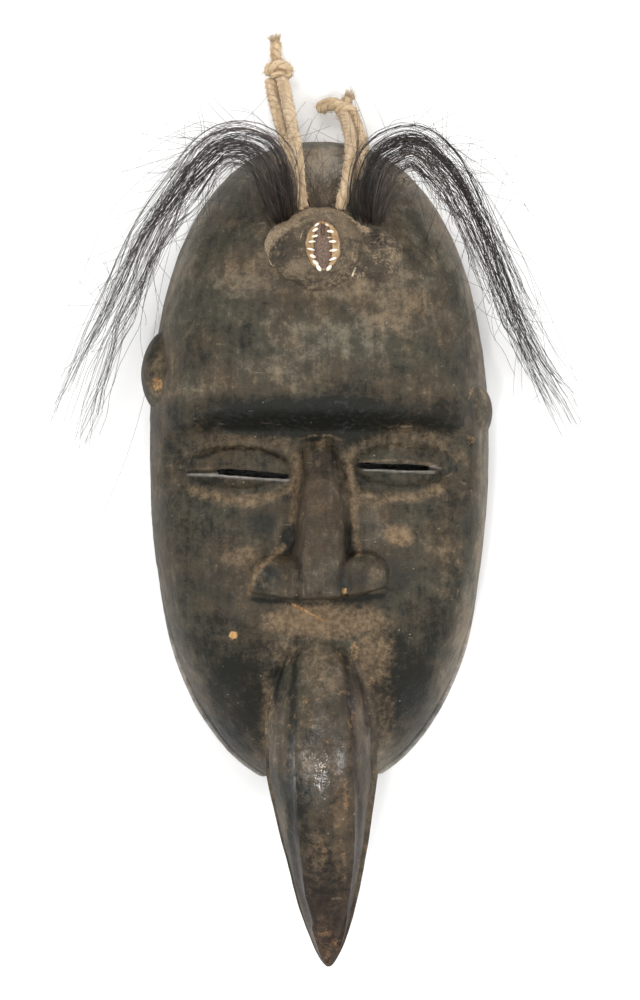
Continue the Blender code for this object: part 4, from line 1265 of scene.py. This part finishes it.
def weather(mesh):
    """Where dust, pitch, worn and bare wood lie, and where light, highlights and shade are painted, from the
    photograph's larger areas.
    """
    co = positions(mesh)
    x, y, z = co.T
    front = 1.0 - inside_share(co)
    on_beak = ease(-0.076, -0.084, y) * ease(0.0235, 0.0215, np.abs(x - BEAK_MIDDLE)) * (z > 0.035)
    off_beak = 1.0 - on_beak

    dust_light_and_shade = 0.50 + 0.36 * fractal(co, (0.016, 0.022, 0.016), 31, 4)
    for amount, places in DUST_AND_PAINTED_LIGHT:
        dust_light_and_shade += amount * spots(co, places)
    # Painted light on the outer walls, stronger on the right side
    dust_light_and_shade += (0.10 + 0.24 * (x > 0.0)) * ease(0.88, 0.97, outline_share(x, y, 0.0)) * off_beak
    dust_light_and_shade += 0.16 * lines(co, DUSTY_LINES) - 0.80 * spots(co, DARK) - 0.75 * lines(co, SHADOW_AND_DARK_LINES)
    # Dust and dark patina, with painted light, painted highlights and painted shadow lines, as one value per
    # point
    paint(mesh, "dust_light_and_shade", 0.25 + 0.5 * dust_light_and_shade * front)

    pitch = spots(co, BLACK) * (0.80 + 0.6 * fractal(co, 0.009, 37))
    paint(mesh, "pitch", pitch * front)

    tan = np.maximum(spots(co, TAN), lines(co, TAN_LINES))
    spread = 0.30 * fractal(co, 0.013, 41) + 0.16 * fractal(co, 0.0045, 43, 2)
    tan = np.maximum(tan + 0.5 * spread * (tan > 0.05), 0.14 + spread - 0.05 * off_beak)
    paint(mesh, "tan", tan * (1.0 - 0.8 * spots(co, ((318, 414, 130, 15, 1.0),))) * front)

    raw = np.maximum(spots(co, RAW), lines(co, RAW_LINES))
    flakes = 0.28 + 0.38 * fractal(co, 0.0032, 45) + 0.14 * fractal(co, 0.02, 46, 2)
    raw = np.maximum(raw, flakes - 0.16 * off_beak)
    paint(mesh, "raw", raw * front + (1.0 - front) * 0.42)

    rim = chin_rim(co) * (0.62 + 0.5 * fractal(co, 0.004, 59))
    # pale wood round the chin's rim, and painted highlights on the slits' lower lips
    paint(mesh, "pale", np.maximum(lines(co, SLIT_LIP_HIGHLIGHTS) * (z > 0.03), rim) * front)

    red = on_beak * (ease(-0.140, -0.200, y) * 0.75 + 0.45 * spots(co, ((352, 760, 30, 90, 1.0),)))
    red += 0.35 * spots(co, ((320, 520, 30, 60, 1.0), (285, 268, 30, 26, 0.6)))
    paint(mesh, "red", red * front)

    polish = on_beak * (0.05 + spots(co, POLISHED)) * (0.9 + 0.6 * fractal(co, 0.006, 53, 2)) + 0.08 * pitch
    paint(mesh, "polish", polish * front)


# Resin lump and shell

MOUND_CENTRE = np.array(pixel(328.0, 252.0))
MOUND_OUTLINE = (
    (261, 250), (266, 238), (272, 230), (283, 222), (297, 214), (312, 208.5), (327, 207), (342, 209),
    (357, 218), (372, 226), (388, 231), (399, 242), (404, 258), (402, 276), (392, 287), (376, 285),
    (362, 284), (349, 293), (335, 298), (320, 298), (306, 294), (290, 283), (276, 271), (266, 262),
)
MOUND_TURNS, MOUND_RINGS = 220, 74
RIDGE = (
    1.0, 9.0, (266, 262), (269, 250), (275, 239), (285, 230), (299, 221), (316, 215), (332, 214), (348, 220),
)
CRUST = (
    (1.00, 13.0, (262, 264), (265, 250), (271, 240), (281, 230), (293, 223)),
    (1.00, 12.0, (290, 224), (301, 215), (314, 211), (330, 210), (344, 213), (356, 219), (366, 229)),
    (0.55, 5.0, (322, 214), (330, 221)), (0.50, 4.0, (346, 296), (360, 285), (366, 270)),
    (0.40, 6.0, (268, 262), (280, 272)),
)
BROWN = ((388, 252, 22, 26, 0.40), (345, 286, 22, 12, 0.42), (300, 224, 20, 10, 0.35))
# painted shade on the dome's left and lower side and where it meets the lobe on its right
MOUND_PAINTED_SHADE = (
    (286, 250, 16, 13, 1.0), (370, 272, 16, 10, 0.7), (300, 285, 20, 8, 0.5), (372, 236, 10, 14, 0.5),
)
CHIPS = (
    (0.85, 1.9, (352, 278), (355, 270)), (0.7, 1.6, (301, 240), (303, 233)),
    (0.7, 1.6, (268, 260), (272, 267)),
)


def mound_edge(angle):
    """The lump's radius at each angle about its middle."""
    out = np.array([pixel(*place_at) for place_at in MOUND_OUTLINE]) - MOUND_CENTRE
    turn = np.degrees(np.arctan2(out[:, 1], out[:, 0])) % 360.0
    order = np.argsort(turn)
    turn, radius = turn[order], np.hypot(*out[order].T)
    turn = np.concatenate(([turn[-1] - 360.0], turn, [turn[0] + 360.0]))
    radius = np.concatenate((radius[-1:], radius, radius[:1]))
    edge = np.interp(np.degrees(angle) % 360.0, turn, radius)
    return edge * (1.0 + 0.02 * np.sin(angle * 9.0 + 1.0) + 0.015 * np.sin(angle * 17.0))


def mound_mesh():
    """A flattened lump that follows the forehead, with a raised upper edge and a hollow for the shell."""
    angle = full_turn(MOUND_TURNS)
    share = np.linspace(0.004, 1.0, MOUND_RINGS) ** 0.9
    r = share[:, None] * mound_edge(angle)[None, :]
    x = MOUND_CENTRE[0] + r * np.cos(angle)[None, :]
    y = MOUND_CENTRE[1] + r * np.sin(angle)[None, :]
    s = np.repeat(share[:, None], MOUND_TURNS, axis=1)
    flat = np.column_stack((x.ravel(), y.ravel(), np.zeros(x.size)))
    lumps = fractal(flat, 0.0058, 61).reshape(x.shape)
    small = fractal(flat, 0.0017, 67, 2).reshape(x.shape)

    dome = np.hypot((x + 0.0022) / 0.0198, (y - 0.0796) / 0.0172)
    low_side = ease(0.0900, 0.0700, y)
    rise = 0.0104 * np.clip(1.0 - dome ** (2.6 - 0.5 * low_side), 0.0, 1.0) ** (0.60 + 0.35 * low_side)
    lobe = np.hypot((x - 0.0262) / 0.0120, (y - 0.0765) / 0.0130)
    rise = np.maximum(rise, 0.0028 * np.clip(1.0 - lobe**2, 0.0, 1.0) ** 1.2)
    rise = np.maximum(rise, 0.0012 * (1.0 - s**2))
    rise = rise * (1.0 + 0.10 * lumps) + (0.0004 * lumps + 0.00030 * small) * (1.0 - s**6)
    rise = rise + 0.0013 * lines(flat, (RIDGE,)).reshape(x.shape) * (0.8 + 0.6 * lumps) * (1.0 - s**8)
    shell = np.hypot((x - COWRIE_X) / 0.0078, (y - COWRIE_Y) / 0.0110)
    rise = rise + 0.0004 * ease(1.6, 1.10, shell) - 0.0030 * ease(0.92, 0.72, shell)
    z = carved_front(x, y) + np.maximum(rise, 0.0) * (1.0 - s**9) - 0.0006 * s**10

    rings = np.stack((x, y, z), axis=-1)
    floor = rings[-1] - (0.0, 0.0, 0.0010)
    top = (*MOUND_CENTRE, z[0].mean())
    low = (*MOUND_CENTRE, floor[:, 2].min() - 0.001)
    return outward(capped_tube("mound", np.concatenate((rings, floor[None])), top, low))


def make_mound(look):
    mesh = mound_mesh()
    p = positions(mesh)
    brown = np.maximum(lines(p, CRUST), spots(p, BROWN))
    paint(mesh, "tan", np.maximum(brown, 0.22 + 0.30 * fractal(p, 0.005, 71)))
    # Painted light on the dome's upper right, then painted shade on its lower left
    tone = 0.64 + 0.42 * fractal(p, 0.009, 73) + 0.42 * spots(p, ((342, 226, 26, 14, 1.0),))
    paint(mesh, "tone", tone - 0.45 * spots(p, MOUND_PAINTED_SHADE))
    paint(mesh, "chip", lines(p, CHIPS))
    finish_piece("resin_lump", mesh, look, "forehead_mound")


# Each tooth: its middle in px, half length and half thickness in px, turn and strength
SHELL_TEETH = (
    (316.9, 227.9, 2.4, 1.3, -35.0, 0.7), (315.3, 233.0, 2.6, 1.5, -30.0, 1.0),
    (315.0, 239.2, 2.4, 1.3, -15.0, 1.0), (311.9, 244.7, 3.0, 1.2, -4.0, 0.9),
    (310.9, 252.3, 3.2, 1.2, 14.0, 1.0), (312.8, 259.2, 2.6, 1.7, 20.0, 1.0),
    (315.6, 265.4, 2.6, 2.0, 35.0, 1.1), (318.8, 270.8, 2.8, 2.1, 60.0, 1.2),
    (326.8, 228.2, 2.0, 1.4, 30.0, 0.5), (330.3, 234.6, 2.8, 1.5, 8.0, 1.0),
    (329.6, 240.6, 2.2, 1.0, 5.0, 0.45), (332.5, 244.6, 3.0, 1.5, 0.0, 1.0),
    (333.3, 253.3, 3.2, 1.5, -8.0, 1.0), (332.7, 261.8, 3.2, 1.4, -20.0, 0.9),
    (328.8, 270.8, 2.6, 2.0, -50.0, 1.2),
)
SHELL_TURNS, SHELL_RINGS = 260, 150


def make_shell(look):
    """The cowrie, toothed side out: a worn oval rim with teeth round a resin-filled middle."""
    height = (shell_low.z + shell_high.z) / 2.0
    t, a = np.meshgrid(np.linspace(0.0, math.pi, SHELL_RINGS), full_turn(SHELL_TURNS), indexing="ij")
    sx, sy, sz = np.sin(t) * np.cos(a), np.sin(t) * np.sin(a), np.cos(t)
    x = 0.0074 * sx * (1.0 - 0.05 * sy)
    y = 0.0107 * sy
    z = 0.0045 * sz
    front = ease(0.0, 0.30, sz)
    flat = np.stack((x + COWRIE_X, y + COWRIE_Y, z), axis=-1).reshape(-1, 3)
    rough = fractal(flat, 0.0016, 81).reshape(x.shape)
    out = (np.abs(x / 0.0036) ** 2.4 + np.abs((y + 0.0002) / 0.0092) ** 2.4) ** (1.0 / 2.4)
    rim = np.exp(-(((out - 1.28) / 0.30) ** 2)) * front
    sunk = ease(1.12, 0.80, out) * front
    teeth = np.zeros_like(x)
    for px, py, long, thick, turn, strength in SHELL_TEETH:
        tx, ty = pixel(px, py)
        dx, dy = x + COWRIE_X - tx, y + COWRIE_Y - ty
        far = oval_share(dx, dy, 1.35 * long * PIXEL, thick * PIXEL, -turn)
        teeth = np.maximum(teeth, strength * np.clip(1.35 - far**2.4, 0.0, 1.0))
    teeth = teeth * front
    z = z + 0.0007 * rim * (1.0 + 0.5 * rough) - 0.0013 * sunk + 0.0009 * teeth + 0.00022 * rough * front
    slot = ease(0.30, 0.05, np.abs(x - 0.0001 - 0.0004 * rough) / 0.0036)
    z = z - 0.0008 * slot * ease(0.003, 0.005, y) * front
    co = np.stack((x + COWRIE_X, y + COWRIE_Y, z + height), axis=-1)
    mesh = outward(capped_tube("shell", co[1:-1], co[0].mean(axis=0), co[-1].mean(axis=0)))

    def per_vertex(values):
        return np.append(values[1:-1], (values[0].mean(), values[-1].mean()))

    paint(mesh, "teeth", per_vertex(teeth))
    grime = np.maximum(sunk * 0.95, 0.75 * ease(0.62, 0.30, sz)) * (1.0 - np.clip(teeth * 1.6, 0.0, 1.0))
    grime = grime + 0.45 * rough * front + 0.30 * ease(0.25, 0.0, teeth) * ease(1.45, 1.15, out)
    paint(mesh, "grime", per_vertex(grime))
    finish_piece("cowrie", mesh, look, "cowrie_shell")


# Hair

# Each tuft's route: shares of the face's half width and upper length, of its root's height and of its width
LEFT_TUFT = (
    (-0.206, 0.716, 0.93, 0.55), (-0.247, 0.819, 1.04, 1.05), (-0.300, 0.916, 1.12, 1.20),
    (-0.394, 0.962, 1.08, 1.12), (-0.529, 0.968, 0.96, 1.02), (-0.653, 0.928, 0.84, 0.98),
    (-0.771, 0.850, 0.74, 0.92), (-0.959, 0.707, 0.54, 0.84), (-1.112, 0.536, 0.37, 0.78),
    (-1.259, 0.358, 0.22, 0.70), (-1.377, 0.184, 0.10, 0.60), (-1.476, 0.039, 0.00, 0.46),
)
RIGHT_TUFT = (
    (0.300, 0.716, 0.93, 0.60), (0.306, 0.816, 1.04, 1.05), (0.353, 0.910, 1.12, 1.15),
    (0.441, 0.948, 1.08, 1.14), (0.559, 0.965, 0.98, 1.08), (0.682, 0.916, 0.85, 1.00),
    (0.818, 0.829, 0.68, 0.92), (0.959, 0.671, 0.52, 0.80), (1.071, 0.519, 0.38, 0.62),
    (1.188, 0.390, 0.27, 0.50), (1.306, 0.268, 0.16, 0.54), (1.441, 0.155, 0.06, 0.56),
    (1.541, 0.071, 0.00, 0.44),
)

# Single long hairs: places in px, py and height above the table in mm
LEFT_STRAYS = (
    ((262, 160, 76), (225, 140, 74), (170, 118, 66), (124, 90, 60)),
    ((250, 150, 76), (200, 150, 68), (130, 172, 55), (62, 184, 50)),
    ((240, 140, 75), (190, 135, 66), (140, 160, 50), (95, 205, 40), (70, 262, 30)),
    ((230, 140, 72), (170, 160, 55), (110, 215, 40), (75, 290, 25), (55, 330, 15)),
    ((200, 160, 62), (150, 230, 40), (95, 330, 20), (45, 400, 9), (22, 470, 6)),
    ((190, 180, 55), (150, 270, 36), (115, 360, 16), (85, 440, 8), (66, 492, 5)),
    ((185, 200, 50), (160, 290, 30), (145, 390, 14), (125, 460, 8), (98, 520, 5)),
    ((220, 150, 66), (160, 200, 45), (100, 290, 25), (60, 380, 12), (30, 452, 6)),
    ((235, 135, 72), (180, 128, 66), (145, 128, 60)),
    ((245, 140, 74), (205, 125, 70), (160, 142, 60), (110, 150, 52)),
    ((180, 230, 45), (140, 300, 30), (88, 352, 18), (48, 378, 10)),
    ((205, 175, 58), (160, 250, 38), (140, 330, 20), (150, 395, 12)),
)
RIGHT_STRAYS = (
    ((385, 165, 76), (405, 140, 76), (430, 110, 66), (441, 72, 60)),
    ((395, 155, 76), (430, 130, 70), (470, 108, 60), (500, 100, 55)),
    ((410, 140, 74), (455, 150, 62), (510, 190, 46), (548, 240, 34), (575, 268, 28)),
    ((420, 140, 72), (470, 175, 55), (520, 250, 36), (560, 340, 18), (590, 415, 8)),
    ((450, 160, 62), (500, 240, 40), (545, 330, 20), (575, 400, 10), (594, 470, 6)),
    ((430, 150, 70), (480, 150, 56), (525, 205, 40), (545, 262, 30)),
    ((440, 150, 66), (490, 200, 48), (530, 275, 30), (548, 372, 14), (535, 400, 10)),
    ((400, 150, 75), (425, 150, 72), (452, 140, 66), (480, 142, 60)),
    ((380, 150, 76), (388, 128, 72), (402, 122, 68), (418, 118, 62)),
    ((465, 190, 56), (500, 270, 38), (520, 330, 24), (525, 390, 12)),
)
ROUTE_POINTS = 200
TUFT_HALF_WIDTH = 0.0165
HANGING_HEIGHT = 0.009
FLOOR_HEIGHT = 0.0006
HAIR_LIMITS = (-0.1195, 0.1240)
FLYAWAYS, CROWN_HAIRS = 150, 32
LOOSE_RADIUS = 0.000085


def tuft_route(stretches):
    """The middle of a tuft and its half width, evenly spaced along it."""
    x, y = stretches[0][0] * FACE_HALF_WIDTH, stretches[0][1] * UP
    root = float(carved_front(np.float64(x), np.float64(y))) + 0.0035 - HANGING_HEIGHT
    sizes = np.array((FACE_HALF_WIDTH, UP, root, TUFT_HALF_WIDTH))
    route = smooth_route(np.array(stretches) * sizes + (0.0, 0.0, HANGING_HEIGHT, 0.0), ROUTE_POINTS)
    return route[:, :3], route[:, 3]


def above_wood(path):
    """Lifts a path's points out of the wood and off the floor, and tucks them in under the lump."""
    x, y, z = path.T
    x = np.clip(x, *HAIR_LIMITS)
    on_face = outline_share(x, y, 0.0) < 1.0
    wood = np.where(on_face, carved_front(x, np.where(on_face, y, 0.0)), 0.0)
    lifted = np.maximum(z, np.where(on_face, wood + LEAST_HEIGHT, FLOOR_HEIGHT))
    from_lump = np.column_stack((x, y)) - MOUND_CENTRE
    lump_share = np.hypot(*from_lump.T) / mound_edge(np.arctan2(from_lump[:, 1], from_lump[:, 0]))
    tucked = wood + 0.0001
    lifted = np.where(lump_share < 1.1, tucked + (lifted - tucked) * ease(0.90, 1.1, lump_share), lifted)
    return np.column_stack((x, y, lifted))


def waves(along, rng, size):
    """A smooth sideways wander of one hair, small at its root."""
    total = 0.0
    for length, amount in ((0.070, 1.0), (0.031, 0.42), (0.014, 0.13)):
        phase = rng.uniform(0.0, 2.0 * math.pi)
        total = total + amount * (np.sin(2.0 * math.pi * along / length + phase) - math.sin(phase))
    return size * total * ease(0.0, 0.030, along)


def lock_reach(rng):
    """How far along the tuft a lock reaches: four in ten nearly to its end, the rest less far."""
    kind = rng.random()
    if kind < 0.38:
        return rng.uniform(0.80, 1.0)
    if kind < 0.64:
        return rng.uniform(0.45, 0.80)
    return rng.uniform(0.12, 0.45)


def tuft_paths(stretches, count, seed):
    """Hairs that leave the forehead in a fan, arch over as one bundle and hang apart at their ends."""
    rng = np.random.default_rng(seed)
    centre, width = tuft_route(stretches)
    whole_length = run_length(centre)
    ahead = np.gradient(centre, axis=0)
    ahead /= np.linalg.norm(ahead, axis=1)[:, None]
    side = np.cross(ahead, (0.0, 0.0, 1.0))
    side /= np.linalg.norm(side, axis=1)[:, None]
    columns = np.column_stack((centre, side, np.cross(side, ahead), width)).T
    rows = np.arange(float(ROUTE_POINTS))
    paths, shades = [], []
    for _ in range(count):
        reach = lock_reach(rng)
        a = np.clip(0.45 * rng.uniform(-1.0, 1.0) + 0.55 * rng.normal(0.0, 0.55), -1.05, 1.05)
        b = np.clip(rng.normal(0.0, 0.5), -1.0, 1.2)
        wild = min(rng.lognormal(-0.1, 0.55), 3.2)
        lock_seed = rng.integers(1 << 30)
        slide, dive = rng.normal(0.0, 0.0034, 2)
        tone = rng.normal(0.25, 0.26)
        for _ in range(rng.integers(4, 9)):
            end = np.clip(reach + rng.normal(0.0, 0.04), 0.10, 1.02)
            t = rng.uniform(0.0, 0.02) + np.linspace(0.0, 1.0, int(12 + 34 * end)) * (end - 0.02)
            k = np.clip(t * rows[-1], 0.0, rows[-1])
            at = np.array([np.interp(k, rows, column) for column in columns])
            base, s, w, wide = at[0:3].T, at[3:6].T, at[6:9].T, at[9]
            along = t * whole_length
            shared = np.random.default_rng(lock_seed)
            own = 0.00036 + 0.00062 * t / end
            loose = (t / end) ** 3 * min(1.0, 2.2 * end)
            lateral = a * wide * 0.60 + waves(along, shared, 0.00085 * wild)
            vertical = b * wide * 0.34 * ease(0.0, 0.10, t) + waves(along, shared, 0.00070 * wild)
            lateral = lateral + rng.normal(0.0, 1.0) * own + waves(along, rng, 0.00022) + slide * loose
            vertical = vertical + rng.normal(0.0, 1.0) * own + waves(along, rng, 0.00022) + dive * loose
            lateral = lateral + rng.normal(0.0, 0.0022) * loose
            path = base + s * lateral[:, None] + w * vertical[:, None]
            if t[-1] > 1.0:
                path[-1] = path[-2] + (path[-2] - path[-3]) * 0.6
            paths.append(above_wood(path))
            shades.append(np.clip(tone + rng.normal(0.0, 0.15), 0.0, 1.0))
    return paths, shades


def flyaway_paths(stretches, count, seed):
    """Hair ends that stand off the arch and the hanging bundle in loose curls."""
    rng = np.random.default_rng(seed)
    centre, width = tuft_route(stretches)
    t = np.linspace(0.0, 1.0, 14)[:, None]
    paths = []
    for _ in range(count):
        k = int(rng.choice((rng.uniform(12, 75), rng.uniform(20, 150))))
        ahead = unit(centre[k + 2] - centre[k])
        side = unit(np.cross(ahead, (0.0, 0.0, 1.0))) * rng.choice((-1.0, 1.0))
        start = centre[k] + side * width[k] * rng.uniform(0.15, 0.5) + (0.0, 0.0, rng.uniform(0.0, 0.005))
        length = rng.uniform(0.008, 0.038)
        lean = ahead * rng.uniform(0.4, 1.0) * rng.choice((1.0, 1.0, -1.0)) + side * rng.uniform(0.05, 0.75)
        lean = lean + (0.0, 0.0, rng.uniform(-0.3, 0.2))
        bend = side * rng.uniform(-0.9, 0.9) + (0.0, 0.0, rng.uniform(-0.7, 0.0))
        path = start + length * (lean * t + 0.6 * bend * t**2)
        paths.append(above_wood(path + side * waves(t[:, 0] * length, rng, 0.0008)[:, None]))
    return paths


def crown_paths(low_px, high_px, count, seed):
    """Short thin hairs that stick out from under the lump and lie on the forehead between the cords."""
    rng = np.random.default_rng(seed)
    t = np.linspace(0.0, 1.0, 12)
    paths = []
    for _ in range(count):
        x, y = pixel(rng.uniform(low_px, high_px), 214.0)
        turn = math.radians(rng.normal(0.0, 26.0))
        step = rng.uniform(0.013, 0.034) / 11.0
        heading = turn + rng.normal(0.0, 0.8) * t
        xs = x + np.concatenate(([0.0], np.cumsum(np.sin(heading[1:]) * step)))
        ys = y + np.concatenate(([0.0], np.cumsum(np.cos(heading[1:]) * step)))
        zs = carved_front(xs, ys) + (0.0009 + rng.uniform(0.0005, 0.005) * np.sin(t * math.pi * 0.6))
        paths.append(above_wood(np.column_stack((xs, ys, zs))))
    return paths


def stray_paths(routes, rng):
    """Single hairs along routes given by a few places each."""
    t = np.linspace(0.0, 1.0, 26)[:, None]
    paths = []
    for places in routes:
        wobble = rng.normal(0.0, 0.00035, (3, 3))
        path = px_route(places, len(t)) + wobble[0] * np.sin(t * 5.0) + wobble[1] * np.sin(t * 9.0 + 1.0)
        paths.append(above_wood(path))
    return paths


def make_tuft(side, stretches, crown, strays, look, seed, locks):
    rng = np.random.default_rng(seed + 1)
    paths, shades = tuft_paths(stretches, locks, seed)
    radii = list(rng.uniform(0.000082, 0.000130, len(paths)))
    extra = flyaway_paths(stretches, FLYAWAYS, seed + 2) + crown_paths(*crown, CROWN_HAIRS, seed + 3)
    extra += stray_paths(strays, rng)
    paths += extra
    shades += list(rng.uniform(0.0, 0.4, len(extra)))
    radii += [LOOSE_RADIUS] * len(extra)
    mesh, owner = tubes_mesh(f"hair_{side}", paths, radii)
    paint(mesh, "shade", np.array(shades)[owner])
    finish_piece(f"hair_{side}", mesh, look, f"hair_tuft_{side}")


def main():
    make_camera()
    jute = jute_material()
    rope = make_cords(jute)
    make_knots(jute)
    make_light()
    make_floor()
    make_mask(wood_material())
    make_mound(resin_material())
    make_shell(shell_material())
    hair = hair_material()
    make_tuft("left", LEFT_TUFT, (298, 324), LEFT_STRAYS, hair, 101, 37)
    make_tuft("right", RIGHT_TUFT, (322, 352), RIGHT_STRAYS, hair, 202, 36)


main()
